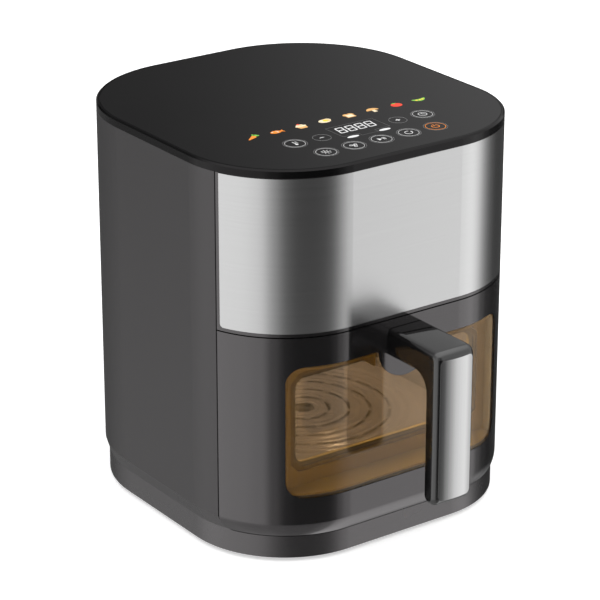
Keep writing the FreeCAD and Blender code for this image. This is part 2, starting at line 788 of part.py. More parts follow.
def cooling_fan():
    high = cooling_low + COOLING_HEIGHT
    middle = (cooling_low + high) / 2
    pieces = [prism(COOLING_HUB, 2 * COOLING_BLADES, cooling_low, high)]
    chord = COOLING_HEIGHT / math.sin(math.radians(COOLING_PITCH_DEG)) * COOLING_FILL
    for index in range(COOLING_BLADES):
        blade = box(COOLING_HUB / 2, COOLING_RADIUS, -chord / 2, chord / 2, -FAN_SHEET / 2, FAN_SHEET / 2)
        blade.rotate(Vector(), Vector(1, 0, 0), COOLING_PITCH_DEG)
        blade.rotate(Vector(), Vector(0, 0, 1), 360 * index / COOLING_BLADES)
        blade.translate(Vector(0, oven_y, middle))
        pieces.append(blade)
    return fused(pieces).cut(shaft_bore(RUNNING / 2, cooling_low, high))


# Electrics
def board_points():
    y0 = front_y + BOARD_FRONT
    return four(BOARD_HALF_X - BOSS_IN, y0 + BOSS_IN, y0 + BOARD_LENGTH - BOSS_IN)


def control_board():
    y0 = front_y + BOARD_FRONT
    return box(-BOARD_HALF_X, BOARD_HALF_X, y0, y0 + BOARD_LENGTH, board_high - BOARD, board_high)


def touch_pads():
    keys = [(x, front_y + KEY_ROW_BACK) for x in KEY_ROW_X]
    keys += [(x, front_y + KEY_FRONT_BACK) for x in KEY_FRONT_X]
    return Part.makeCompound([block_at(x, y, PAD_HALF, board_high, cap_z - FIT) for x, y in keys])


def display_module():
    y = front_y + DISPLAY_BACK
    return box(FIT - DISPLAY_HALF_X, DISPLAY_HALF_X - FIT, y - DISPLAY_HALF_Y + FIT, y + DISPLAY_HALF_Y - FIT,
               board_high, deck_high - FIT)


def power_board():
    x0 = POWER_IN - half_width
    y0 = oven_y - POWER_LENGTH / 2
    low = shield_top + POWER_STAND
    board = box(x0, x0 + POWER_WIDTH, y0, y0 + POWER_LENGTH, low, low + BOARD)
    legs = [block_at(x, y, BOSS_HALF, shield_top, low) for x in (x0 + BOSS_IN, x0 + POWER_WIDTH - BOSS_IN)
            for y in (y0 + BOSS_IN, y0 + POWER_LENGTH - BOSS_IN)]
    relay = box(x0 + BOSS_IN, x0 + BOSS_IN + RELAY_WIDTH, oven_y - RELAY_LENGTH / 2,
                oven_y + RELAY_LENGTH / 2, low + BOARD, low + BOARD + RELAY_HEIGHT)
    capacitor = block_at(x0 + POWER_WIDTH - 2 * CAPACITOR_HALF, oven_y, CAPACITOR_HALF, low + BOARD,
                         low + BOARD + CAPACITOR_HEIGHT)
    return fused([board, relay, capacitor] + legs)


def ntc_sensor():
    probe = block_at(probe_x, oven_y, PROBE_HALF, dome_top - PROBE_BELOW, dome_top + PROBE_ABOVE)
    return fused([probe, block_at(probe_x, oven_y, 2 * PROBE_HALF, dome_top, dome_top + PROBE_HALF)])


def thermal_fuse():
    y = oven_y + FUSE_Y
    half = FUSE_LENGTH / 2
    seat = dome_top + SHEET
    body = box(-half, half, y - FUSE_HALF, y + FUSE_HALF, seat, seat + 2 * FUSE_HALF)
    clip = box(-half / 2, half / 2, y - 2 * FUSE_HALF, y + 2 * FUSE_HALF, dome_top, seat)
    return fused([body, clip])


def lamp_lens():
    return block_at(LAMP_X, oven_y - LAMP_Y, LENS_HALF, dome_top, dome_top + LENS_THICK)


def chamber_lamp():
    x, y = LAMP_X, oven_y - LAMP_Y
    socket_low = shield_low - LAMP_BASE_HEIGHT
    bulb = block_at(x, y, BULB_HALF, dome_top + LENS_THICK + FIT, socket_low)
    return fused([bulb, block_at(x, y, LAMP_BASE, socket_low, shield_low)])


# Drawer
def rolled_block():
    """Block on the body's outline whose lower edge rolls inwards and stops at the drawer's bottom."""
    rise = BASE_TOP - DRAWER_BOTTOM
    roll = (rise ** 2 + ROLL_INSET ** 2) / (2 * ROLL_INSET)
    block = body_slab(0, BASE_TOP - roll, drawer_top)
    return block.makeFillet(roll, bottom_edges(block))


def window_shape(grow, y0, y1):
    """Window outline grown all round: a rounded rectangle less the tongue that carries the handle."""
    high = window_high + grow
    shape = panel(WINDOW_HALF + grow, WINDOW_LOW - grow, high, WINDOW_CORNER + grow, y0, y1)
    tongue = TONGUE_RADIUS - grow
    shape = shape.cut(bar(tongue, 0, window_high, y0, y1))
    meet = math.sqrt(tongue ** 2 - grow ** 2)
    corners = [edge for edge in shape.Edges if edge.BoundBox.XLength + edge.BoundBox.ZLength < FIT
               and abs(abs(edge.BoundBox.XMax) - meet) < FIT and edge.BoundBox.ZMin > high - FIT]
    return shape.makeFillet(TONGUE_CORNER, corners)


def clipped_sight(grow, y0, y1):
    """Basket window's sight grown all round, with clipped corners."""
    return clipped_panel(SIGHT_HALF + grow, SIGHT_LOW - grow, sight_high + grow, SIGHT_CLIP, y0, y1)


def drawer_front():
    shape = front_region(front_back, DRAWER_BOTTOM, BASE_TOP - DRAWER_BOTTOM, drawer_top)
    block = rolled_block().common(shape)
    block = block.cut(body_slab(DRAWER_WALL, DRAWER_BOTTOM + DRAWER_FLOOR, drawer_top - DRAWER_LID))
    return block.cut(window_shape(0, front_y - FIT, basket_front)).removeSplitter()


def window_glass():
    skin = body_band(GLASS_SINK, GLASS_SINK + GLASS_THICK, WINDOW_LOW, window_high)
    return skin.common(window_shape(-FIT, front_y, basket_front))


def window_surround():
    """Tray whose front edge backs the bent pane and whose mouth frames the basket's window."""
    def tray(grow, y1):
        half = WINDOW_HALF - grow
        return box(-half, half, front_y, y1, WINDOW_LOW + grow, window_high - grow)
    outer = tray(SURROUND_IN, surround_rear)
    inner = tray(SURROUND_IN + SURROUND_WALL, surround_rear - SURROUND_BACK)
    tongue = TONGUE_RADIUS + SURROUND_IN
    notch = box(-tongue, tongue, front_y, basket_front, window_high - tongue, HEIGHT)
    room = box(-tongue - SURROUND_WALL, tongue + SURROUND_WALL, front_y, surround_rear - SURROUND_BACK,
               window_high - tongue - SURROUND_WALL, HEIGHT)
    skin = outer.cut(inner).fuse(outer.common(room)).cut(notch)
    shape = skin.cut(clipped_sight(SEAL_BAND + FIT, front_y, 0))
    return shape.common(body_slab(GLASS_SINK + GLASS_THICK + FIT, 0, HEIGHT)).removeSplitter()


def drawer_back_cover():
    low = DRAWER_BOTTOM + DRAWER_FLOOR + FIT
    plate = body_slab(DRAWER_WALL + FIT, low, drawer_top - DRAWER_LID - FIT)
    plate = behind(cover_front, ahead_of(cover_back, plate))
    mouth = panel(basket_half + HEM_OUT + FIT, BASKET_LOW - FIT, drawer_top + COVER_CORNER, COVER_CORNER,
                  cover_front, cover_back)
    return plate.cut(mouth)


def basket_block(inset):
    return slab(basket_half - inset, basket_front + inset, basket_rear - inset, BASKET_FRONT_RADIUS - inset,
                BASKET_REAR_RADIUS - inset, BASKET_LOW + inset, basket_high)


def basket():
    hem = slab(basket_half + HEM_OUT, basket_front - HEM_OUT, basket_rear + HEM_OUT,
               BASKET_FRONT_RADIUS + HEM_OUT, BASKET_REAR_RADIUS + HEM_OUT,
               basket_high - HEM_HEIGHT, basket_high)
    pan = basket_block(0).fuse(hem).cut(basket_block(BASKET_WALL)).removeSplitter()
    return pan.cut(clipped_sight(SEAL_BAND, basket_front - HEM_OUT, basket_front + BASKET_FRONT_RADIUS))


def inner_glass_seal():
    """Silicone ring through the basket's wall, rebated for the pane."""
    ring = clipped_sight(SEAL_BAND - FIT / 2, seal_front, seal_front + SEAL_DEPTH)
    rebate = clipped_sight(INNER_GLASS_HOLD + SNUG, seal_front, seal_front + INNER_GLASS_THICK)
    sight = panel(SIGHT_HALF, SIGHT_LOW, sight_high, SIGHT_CORNER, seal_front, seal_front + SEAL_DEPTH)
    return ring.cut(sight).cut(rebate)


def inner_glass():
    return clipped_sight(INNER_GLASS_HOLD, seal_front, seal_front + INNER_GLASS_THICK)


# Handle
def inlay_panel(clearance, y0, y1):
    half = HANDLE_HALF - INLAY_SIDE - clearance
    return panel(half, GRIP_LOW + INLAY_END + clearance, arm_high - INLAY_END - clearance,
                 INLAY_CORNER - clearance, y0, y1)


def handle_profile(inset, x):
    """Side view of the handle at x, drawn in all round except where it meets the drawer."""
    high, low = arm_high - inset, arm_low + inset
    front, back, bottom = grip_front + inset, grip_back - inset, GRIP_LOW + inset
    corner = HANDLE_CORNER - inset
    return rounded_wire([
        (Vector(x, front_y, high), 0), (Vector(x, front, high), corner), (Vector(x, front, bottom), corner),
        (Vector(x, back, bottom), corner), (Vector(x, back, low), HANDLE_BEND + inset),
        (Vector(x, front_y, low), 0)])


def handle():
    shoulder = HANDLE_HALF - HANDLE_EDGE
    core = Part.Face(handle_profile(0, -shoulder)).extrude(Vector(2 * shoulder, 0, 0))
    cheeks = []
    for side in (-1, 1):
        profiles = [handle_profile(0, side * shoulder), handle_profile(HANDLE_EDGE, side * HANDLE_HALF)]
        cheeks.append(Part.makeLoft(profiles, True, True))
    return fused([core] + cheeks).cut(inlay_panel(0, grip_front, grip_front + INLAY_SINK))


def grip_inlay():
    back = grip_front + INLAY_SINK
    ends = [Vector(HANDLE_HALF, grip_front, GRIP_LOW), Vector(-HANDLE_HALF, grip_front, GRIP_LOW)]
    crown = Part.Arc(ends[0], Vector(0, grip_front - INLAY_CROWN, GRIP_LOW), ends[1]).toShape()
    feet = [Vector(-HANDLE_HALF, back, GRIP_LOW), Vector(HANDLE_HALF, back, GRIP_LOW)]
    wire = Part.Wire([crown, Part.makeLine(ends[1], feet[0]), Part.makeLine(feet[0], feet[1]),
                      Part.makeLine(feet[1], ends[0])])
    bowed = Part.Face(wire).extrude(Vector(0, 0, arm_high - GRIP_LOW))
    return bowed.common(inlay_panel(SNUG, grip_front - INLAY_CROWN, back))


def handle_bracket():
    plate_front = front_y + DRAWER_WALL + SNUG
    ear_back = basket_front - FIT
    leg_high = arm_high - BRACKET_DROP
    leg_low = leg_high - BRACKET_LEG
    plate = box(-BRACKET_HALF, BRACKET_HALF, plate_front, plate_front + BRACKET_SHEET,
                leg_high - BRACKET_HEIGHT, leg_high)
    legs = [box(x, x + BRACKET_SHEET, plate_front, ear_back, leg_low, leg_high)
            for x in (-BRACKET_HALF, BRACKET_HALF - BRACKET_SHEET)]
    ear = box(-BRACKET_EAR, BRACKET_EAR, ear_back - BRACKET_SHEET, ear_back, leg_low, leg_high)
    return fused([plate, ear] + legs)


# Crisper plate
def stud_points():
    return four(basket_half - STUD_IN, basket_front + STUD_IN, basket_rear - BASKET_REAR_RADIUS)


def slot_ring(index):
    """One ring of straight slots laid along its circle."""
    radius = SLOT_RADIUS + index * SLOT_PITCH
    count = SLOT_COUNT + index * SLOT_COUNT_STEP
    half = (2 * math.pi * radius / count - SLOT_BRIDGE) / 2
    slots = []
    for step in range(count):
        slot = box(-half, half, -SLOT_WIDTH / 2, SLOT_WIDTH / 2, PLATE_LOW, plate_high)
        slot.translate(Vector(0, radius, 0))
        slot.rotate(Vector(), Vector(0, 0, 1), 360 * (step + index % 2 / 2) / count)
        slot.translate(Vector(0, plate_y, 0))
        slots.append(slot)
    return slots


def crisper_plate():
    inner = BASKET_WALL + PLATE_SIDE_GAP
    plate = slab(basket_half - inner, basket_front + BASKET_WALL + PLATE_FRONT_GAP, basket_rear - inner,
                 BASKET_FRONT_RADIUS - inner, BASKET_REAR_RADIUS - inner, PLATE_LOW, plate_high)
    holes = [rod(PLATE_EYE, 0, plate_y, PLATE_LOW, plate_high)]
    holes += [block_at(x, y, STUD_NECK + SNUG, PLATE_LOW, plate_high) for x, y in stud_points()]
    for index in range(SLOT_RINGS):
        holes += slot_ring(index)
    return plate.cut(Part.makeCompound(holes))


def plate_feet():
    """Silicone feet, each pushed through the plate and held by its head."""
    studs = []
    for x, y in stud_points():
        leg = block_at(x, y, STUD_HALF, BASKET_LOW + BASKET_WALL + FIT, PLATE_LOW)
        neck = block_at(x, y, STUD_NECK, PLATE_LOW, plate_high)
        studs.append(fused([leg, neck, block_at(x, y, STUD_HALF, plate_high, plate_high + STUD_HEAD)]))
    return Part.makeCompound(studs)


PIECES = (
    base_tray, rubber_feet, outer_shell, rear_vent_grille, cord_gland, top_cover, control_panel,
    front_fascia, steel_band, bay_frame, cooking_chamber, drawer_runners, drawer_switch, switch_plunger,
    heater_dome, heating_element, element_guard, heat_shield, motor_frame, motor_end_cap, motor_stator,
    motor_bearings, motor_shaft, motor_rotor, hot_air_fan, cooling_fan, control_board, touch_pads,
    display_module, power_board, ntc_sensor, thermal_fuse, lamp_lens, chamber_lamp, drawer_front,
    window_glass, window_surround, drawer_back_cover, basket, inner_glass_seal, inner_glass,
    handle, grip_inlay, handle_bracket, crisper_plate, plate_feet)

os.makedirs("parts", exist_ok=True)
for piece in PIECES:
    shape = piece()
    shape.translate(Vector(0, body_shift, 0))
    shape.exportStep("parts/" + piece.__name__ + ".step")
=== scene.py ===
"""Looks of the air fryer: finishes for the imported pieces, and finer pieces over them."""
import json
import math

import bmesh
import bpy
from mathutils import Matrix, Vector


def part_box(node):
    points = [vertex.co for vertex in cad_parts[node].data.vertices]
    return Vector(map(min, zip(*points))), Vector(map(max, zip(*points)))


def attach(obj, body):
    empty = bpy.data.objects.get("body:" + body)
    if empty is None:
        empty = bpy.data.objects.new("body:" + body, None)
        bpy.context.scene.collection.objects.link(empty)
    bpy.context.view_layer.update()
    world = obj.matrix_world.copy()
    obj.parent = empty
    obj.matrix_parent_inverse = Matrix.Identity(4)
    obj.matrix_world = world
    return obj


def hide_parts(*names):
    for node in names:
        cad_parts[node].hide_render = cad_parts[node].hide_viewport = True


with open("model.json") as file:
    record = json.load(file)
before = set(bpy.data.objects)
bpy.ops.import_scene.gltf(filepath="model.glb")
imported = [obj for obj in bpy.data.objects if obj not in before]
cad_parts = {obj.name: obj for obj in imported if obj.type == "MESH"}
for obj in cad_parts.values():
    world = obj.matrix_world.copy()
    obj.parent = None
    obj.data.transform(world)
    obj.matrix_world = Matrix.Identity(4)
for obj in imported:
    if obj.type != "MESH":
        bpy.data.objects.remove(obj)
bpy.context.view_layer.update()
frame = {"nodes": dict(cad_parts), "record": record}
nodes = frame["nodes"]
scene = bpy.context.scene
MM = 0.001


# Node tree helpers
def add(tree, kind, **values):
    """New node with the named inputs or properties set."""
    node = tree.nodes.new(kind)
    for name, value in values.items():
        if name in node.inputs:
            node.inputs[name].default_value = value
        else:
            setattr(node, name, value)
    return node


def shader_group(name, inputs, outputs):
    """Empty shader node group with named sockets, and its two end nodes."""
    tree = bpy.data.node_groups.new(name, "ShaderNodeTree")
    for label, kind, value in inputs:
        socket = tree.interface.new_socket(label, in_out="INPUT", socket_type="NodeSocket" + kind)
        if value is not None:
            socket.default_value = value
    for label, kind in outputs:
        tree.interface.new_socket(label, in_out="OUTPUT", socket_type="NodeSocket" + kind)
    return tree, tree.nodes.new("NodeGroupInput"), tree.nodes.new("NodeGroupOutput")


def maths(tree, operation, a, b, clamp=False):
    """Math node whose terms are sockets or plain numbers."""
    node = add(tree, "ShaderNodeMath", operation=operation, use_clamp=clamp)
    for index, term in enumerate((a, b)):
        if isinstance(term, (int, float)):
            node.inputs[index].default_value = term
        else:
            tree.links.new(term, node.inputs[index])
    return node.outputs[0]


def tinted(tree, colour, amount):
    """The colour made lighter or darker by a factor that changes over the surface."""
    node = add(tree, "ShaderNodeVectorMath", operation="SCALE")
    tree.links.new(colour, node.inputs[0])
    tree.links.new(amount, node.inputs["Scale"])
    return node.outputs[0]


def cloud(tree, place, scale, detail):
    """Noise over the given place, whose scale is a socket or a plain number."""
    node = add(tree, "ShaderNodeTexNoise", Detail=detail)
    tree.links.new(place, node.inputs["Vector"])
    if isinstance(scale, (int, float)):
        node.inputs["Scale"].default_value = scale
    else:
        tree.links.new(scale, node.inputs["Scale"])
    return node.outputs["Fac"]


def make_moulded_skin():
    """Moulded surface: slow drift in shade and gloss, and a fine grain."""
    tree, start, end = shader_group(
        "moulded_skin",
        [("Place", "Vector", None), ("Colour", "Color", None), ("Drift", "Float", 0.1),
         ("Drift Scale", "Float", 14.0), ("Roughness", "Float", 0.3), ("Gloss Spread", "Float", 0.05),
         ("Grain Scale", "Float", 1800.0)],
        [("Colour", "Color"), ("Roughness", "Float"), ("Grain", "Float")])
    slow = cloud(tree, start.outputs["Place"], start.outputs["Drift Scale"], detail=3.0)
    fine = cloud(tree, start.outputs["Place"], start.outputs["Grain Scale"], detail=2.0)
    swing = maths(tree, "SUBTRACT", slow, 0.5)
    shade = maths(tree, "ADD", maths(tree, "MULTIPLY", swing, start.outputs["Drift"]), 1.0)
    tree.links.new(tinted(tree, start.outputs["Colour"], shade), end.inputs["Colour"])
    gloss = maths(tree, "MULTIPLY", swing, start.outputs["Gloss Spread"])
    roughness = maths(tree, "ADD", gloss, start.outputs["Roughness"], clamp=True)
    tree.links.new(roughness, end.inputs["Roughness"])
    tree.links.new(fine, end.inputs["Grain"])
    return tree


def make_drawn_lines():
    """Brushed or rolled metal: fine lines along one direction of the given place."""
    tree, start, end = shader_group(
        "drawn_lines",
        [("Place", "Vector", None), ("Colour", "Color", None), ("Contrast", "Float", 0.2),
         ("Roughness", "Float", 0.3), ("Gloss Spread", "Float", 0.1)],
        [("Colour", "Color"), ("Roughness", "Float"), ("Lines", "Float")])
    fine = cloud(tree, start.outputs["Place"], scale=1.0, detail=4.0)
    broad = cloud(tree, start.outputs["Place"], scale=0.13, detail=2.0)
    lines = maths(tree, "SUBTRACT", maths(tree, "ADD", fine, broad), 1.0)
    shade = maths(tree, "ADD", maths(tree, "MULTIPLY", lines, start.outputs["Contrast"]), 1.0)
    tree.links.new(tinted(tree, start.outputs["Colour"], shade), end.inputs["Colour"])
    gloss = maths(tree, "MULTIPLY", lines, start.outputs["Gloss Spread"])
    roughness = maths(tree, "ADD", gloss, start.outputs["Roughness"], clamp=True)
    tree.links.new(roughness, end.inputs["Roughness"])
    tree.links.new(fine, end.inputs["Lines"])
    return tree


moulded_skin = make_moulded_skin()
drawn_lines = make_drawn_lines()


# Finishes
BUMP_DISTANCE = 0.05 * MM


def start_material(name, principled):
    """New material whose shader has the given plain values."""
    material = bpy.data.materials.new(name)
    material.use_nodes = True
    shader = material.node_tree.nodes["Principled BSDF"]
    for label, value in principled.items():
        shader.inputs[label].default_value = value
    return material, material.node_tree, shader


def wire_group(tree, shader, group, stretch, values, height, depth):
    """Feed the shader's colour, gloss and normal from a group laid on the object's own coordinates."""
    place = add(tree, "ShaderNodeMapping", Scale=stretch)
    tree.links.new(add(tree, "ShaderNodeTexCoord").outputs["Object"], place.inputs["Vector"])
    node = tree.nodes.new("ShaderNodeGroup")
    node.node_tree = group
    for label, value in values.items():
        node.inputs[label].default_value = value
    tree.links.new(place.outputs["Vector"], node.inputs["Place"])
    tree.links.new(node.outputs["Colour"], shader.inputs["Base Color"])
    tree.links.new(node.outputs["Roughness"], shader.inputs["Roughness"])
    bump = add(tree, "ShaderNodeBump", Strength=depth, Distance=BUMP_DISTANCE)
    tree.links.new(node.outputs[height], bump.inputs["Height"])
    tree.links.new(bump.outputs["Normal"], shader.inputs["Normal"])


def moulded(name, colour, rough, drift=0.12, grain=0.1, spread=0.06, **principled):
    """Finish whose shade and gloss drift slowly, with a fine grain."""
    material, tree, shader = start_material(name, principled)
    wire_group(tree, shader, moulded_skin, (1, 1, 1),
               {"Colour": (*colour, 1), "Roughness": rough, "Drift": drift, "Gloss Spread": spread},
               "Grain", grain)
    return material


def lined_metal(name, colour, rough, stretch, contrast=0.25, spread=0.15, depth=0.12, **principled):
    """Finish of bare metal whose lines run along the axes that are stretched least."""
    material, tree, shader = start_material(name, {"Metallic": 1.0, **principled})
    wire_group(tree, shader, drawn_lines, stretch,
               {"Colour": (*colour, 1), "Roughness": rough, "Contrast": contrast, "Gloss Spread": spread},
               "Lines", depth)
    return material


INKS = {
    "white": (0.75, 0.75, 0.75), "dim": (0.09, 0.09, 0.09), "grey": (0.3, 0.3, 0.3),
    "orange": (0.9, 0.27, 0.03), "yellow": (0.95, 0.62, 0.06), "red": (0.8, 0.06, 0.03),
    "green": (0.2, 0.5, 0.07), "tan": (0.75, 0.42, 0.15), "cream": (0.85, 0.72, 0.5)}


def printed(name, colour):
    """Ink of the touch panel, which is lit a little from behind."""
    return moulded("ink_" + name, colour, 0.4, drift=0.08, grain=0.05,
                   **{"Emission Color": (*colour, 1), "Emission Strength": 0.3})


# Faint pink in what the grey and black mouldings mirror
WARM = {"Specular Tint": (1.0, 0.955, 0.972, 1)}


def make_finishes():
    """All finishes by name: the record's material slots, and those that single pieces have of their own."""
    return {
        "shell_grey": moulded(
            "satin_grey_shell", (0.022, 0.0213, 0.0217), 0.34, grain=0.25, IOR=1.62, **WARM),
        "front_grey": moulded(
            "polished_grey_front", (0.006, 0.0058, 0.0059), 0.085, grain=0.02, IOR=1.9, **WARM),
        "base_grey": moulded(
            "polished_grey_base", (0.0085, 0.0083, 0.0084), 0.27, grain=0.04, IOR=2.02, **WARM),
        "panel_black": moulded(
            "touch_panel_black", (0.006, 0.0058, 0.006), 0.16, grain=0.03, IOR=1.5, **WARM),
        "cap_black": moulded("cap_black", (0.0025, 0.0025, 0.0026), 0.09, grain=0.02, IOR=1.3, **WARM),
        "black_gloss": moulded("polished_black", (0.0025, 0.0025, 0.0026), 0.07, grain=0.015, IOR=1.5),
        "handle_black": moulded("handle_black", (0.003, 0.003, 0.003), 0.06, grain=0.01, IOR=1.78),
        "black_plastic": moulded("satin_black", (0.012, 0.012, 0.0125), 0.42, grain=0.3, IOR=1.5),
        "seal_brown": moulded("seal_brown", (0.165, 0.117, 0.025), 0.6, grain=0.1, IOR=1.2),
        "tray_brown": moulded("tray_brown", (0.31, 0.225, 0.04), 0.6, grain=0.1, IOR=1.2),
        "rubber": moulded("rubber", (0.012, 0.012, 0.012), 0.62, grain=0.5, IOR=1.45),
        "white_plastic": moulded("white_nylon", (0.72, 0.71, 0.67), 0.4, grain=0.2),
        "board_green": moulded("board_green", (0.02, 0.12, 0.05), 0.35, drift=0.4),
        "steel": lined_metal(
            "brushed_band", (0.58, 0.58, 0.58), 0.25, (9, 9, 9000), contrast=0.1, spread=0.05, depth=0.05,
            Anisotropic=0.3, **{"Anisotropic Rotation": 0.25}),
        "inlay_steel": lined_metal(
            "brushed_grip_plate", (0.52, 0.52, 0.52), 0.1, (9000, 9000, 9), contrast=0.1, spread=0.05,
            depth=0.05),
        "aluminised": lined_metal("aluminised_sheet", (0.52, 0.52, 0.51), 0.34, (60, 60, 900)),
        "zinc": lined_metal("bright_wire", (0.55, 0.55, 0.55), 0.25, (400, 400, 400)),
        "motor_iron": lined_metal("laminated_iron", (0.2, 0.2, 0.21), 0.45, (30, 30, 2200), contrast=0.6),
        "shaft_steel": lined_metal("ground_shaft", (0.6, 0.6, 0.6), 0.18, (40, 40, 1500)),
        "coated_steel": moulded("coated_pan", (0.13, 0.12, 0.12), 0.26, grain=0.15, IOR=1.6, Metallic=0.6),
        "element_steel": moulded("oxidised_tube", (0.20, 0.185, 0.17), 0.45, drift=0.5, Metallic=0.9),
        "bronze": moulded("sintered_bronze", (0.42, 0.27, 0.1), 0.4, drift=0.4, Metallic=1.0),
        "amber_glass": moulded(
            "amber_pane", (0.71, 0.53, 0.32), 0.03, drift=0.06, grain=0.0, spread=0.01, IOR=1.45,
            **{"Transmission Weight": 0.985, "Specular Tint": (1.0, 0.88, 0.74, 1)}),
        "clear_glass": moulded(
            "clear_pane", (0.93, 0.95, 0.94), 0.02, drift=0.02, grain=0.0, spread=0.01, IOR=1.5,
            **{"Transmission Weight": 1.0}),
        "lit_lens": moulded(
            "lit_lens", (0.9, 0.85, 0.75), 0.3,
            **{"Emission Color": (1.0, 0.86, 0.72, 1), "Emission Strength": 90.0}),
        "lamp_white": moulded(
            "lit_bulb", (0.9, 0.85, 0.75), 0.4,
            **{"Emission Color": (1.0, 0.72, 0.42, 1), "Emission Strength": 6.0}),
        **{"ink_" + name: printed(name, colour) for name, colour in INKS.items()},
    }


finishes = make_finishes()
own_finish = {
    "grip_inlay": "inlay_steel", "control_panel": "panel_black", "base_tray": "base_grey",
    "top_cover": "cap_black", "window_surround": "tray_brown", "inner_glass_seal": "seal_brown",
    "lamp_lens": "lit_lens"}


def dress_nodes():
    """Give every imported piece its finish."""
    slot_of = {row["node"]: row["material_slot"] for row in frame["record"]["subparts"]}
    for name, node in nodes.items():
        material = finishes[own_finish.get(name, slot_of[name])]
        for slot in node.material_slots:
            slot.material = material


dress_nodes()


# Mesh helpers
SAME_POINT = 1e-7


def place_piece(name, mesh, body, finish, replaces=()):
    """Finished piece at the origin, riding on its body."""
    piece = bpy.data.objects.new(name, mesh)
    scene.collection.objects.link(piece)
    mesh.materials.clear()
    mesh.materials.append(finishes[finish])
    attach(piece, body)
    if replaces:
        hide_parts(*replaces)


def mesh_from(bm, name, sharp_deg=35.0):
    """Mesh with smooth shading broken at sharp edges."""
    bmesh.ops.remove_doubles(bm, verts=bm.verts, dist=SAME_POINT)
    bmesh.ops.recalc_face_normals(bm, faces=bm.faces)
    mesh = bpy.data.meshes.new(name)
    bm.to_mesh(mesh)
    bm.free()
    mesh.shade_smooth()
    mesh.set_sharp_from_angle(angle=math.radians(sharp_deg))
    return mesh


def applied(thing):
    """New mesh of an object with its modifiers worked in."""
    return bpy.data.meshes.new_from_object(thing.evaluated_get(bpy.context.evaluated_depsgraph_get()))


def full_turn(sides):
    """Even angles once round."""
    return [2 * math.pi * side / sides for side in range(sides)]


def quarter_round(radius, steps):
    """Pairs along a quarter circle, from (radius, 0) to (0, radius)."""
    turns = [math.pi / 2 * step / steps for step in range(steps + 1)]
    return [(radius * (1 - math.sin(turn)), radius * (1 - math.cos(turn))) for turn in turns]


def rounded_points(corners, steps=8):
    """Points of a closed flat outline through (x, y, radius) corners."""
    points = []
    count = len(corners)
    for index, (x, y, radius) in enumerate(corners):
        here = Vector((x, y))
        back = (Vector(corners[index - 1][:2]) - here).normalized()
        ahead = (Vector(corners[(index + 1) % count][:2]) - here).normalized()
        if radius <= 0:
            points.append(here)
            continue
        half = back.angle(ahead) / 2
        centre = here + (back + ahead).normalized() * (radius / math.sin(half))
        first = here + back * (radius / math.tan(half)) - centre
        last = here + ahead * (radius / math.tan(half)) - centre
        turn = first.angle_signed(last)
        for step in range(steps + 1):
            points.append(centre + Matrix.Rotation(-turn * step / steps, 2) @ first)
    return points


def stack_of_loops(bm, loops):
    """Closed skin through a stack of loops with the same count of points, its two ends filled."""
    rings = [[bm.verts.new(point) for point in loop] for loop in loops]
    for low, high in zip(rings, rings[1:]):
        for index in range(len(low)):
            after = (index + 1) % len(low)
            bm.faces.new((low[index], low[after], high[after], high[index]))
    bm.faces.new(rings[0][::-1])
    bm.faces.new(rings[-1])


# Handle: an L in side view whose cheeks are rounded over, and the bowed plate on its front
GRIP_THICK = 16 * MM
GRIP_CORNER = 7 * MM
ARM_DEPTH = 22 * MM
ARM_BEND = 14 * MM
ROOT_GAP = 0.8 * MM
CHEEK_ROUND = 5 * MM


def handle_loop(x, inset):
    """Side view of the handle at x, drawn in all round except where it meets the drawer."""
    low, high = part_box("handle")
    top, arm_low = high.z - inset, high.z - ARM_DEPTH + inset
    front, back, bottom = low.y + inset, low.y + GRIP_THICK - inset, low.z + inset
    corner = GRIP_CORNER - inset
    outline = rounded_points([
        (high.y, top - ROOT_GAP, 0), (high.y - ROOT_GAP, top, 0),
        (front, top, corner), (front, bottom, corner),
        (back, bottom, corner), (back, arm_low, ARM_BEND + inset),
        (high.y - ROOT_GAP, arm_low, 0), (high.y, arm_low + ROOT_GAP, 0)], steps=12)
    return [(x, point.x, point.y) for point in outline]


def handle_piece():
    """Handle moulding, from one rounded cheek to the other."""
    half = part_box("handle")[1].x
    cheek = [(half - inwards, inset) for inwards, inset in quarter_round(CHEEK_ROUND, steps=8)]
    bm = bmesh.new()
    stack_of_loops(bm, [handle_loop(-x, inset) for x, inset in cheek[::-1]]
                   + [handle_loop(x, inset) for x, inset in cheek])
    mesh = mesh_from(bm, "handle_rounded")
    place_piece("handle_rounded", mesh, "drawer", "handle_black", ["handle"])


def grip_plate():
    """Brushed plate, bowed across its width, that laps over the rounded cheeks a little."""
    low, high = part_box("grip_inlay")
    wider, shorter, proud = 0.7 * MM, 1.4 * MM, 0.6 * MM
    corner, bow, columns = 3.5 * MM, 1.8 * MM, 40
    half, top, bottom = high.x + wider, high.z - shorter, low.z + shorter
    loops = []
    for column in range(columns + 1):
        x = -half * math.cos(math.pi * column / columns)
        past = max(abs(x) - (half - corner), 0.0)
        trim = corner - math.sqrt(max(corner ** 2 - past ** 2, 0.0))
        front, back, foot, head = low.y - proud + bow * (x / half) ** 2, high.y, bottom + trim, top - trim
        loops.append([(x, front, foot), (x, front, head), (x, back, head), (x, back, foot)])
    bm = bmesh.new()
    stack_of_loops(bm, loops)
    place_piece("grip_plate", mesh_from(bm, "grip_plate"), "drawer", "inlay_steel", ["grip_inlay"])


# Basket: deep drawn pan with a rolled hem and the hole for its window
PAN_FRONT_CORNER = 18 * MM
PAN_REAR_CORNER = 45 * MM
LEAST_CORNER = 0.6 * MM


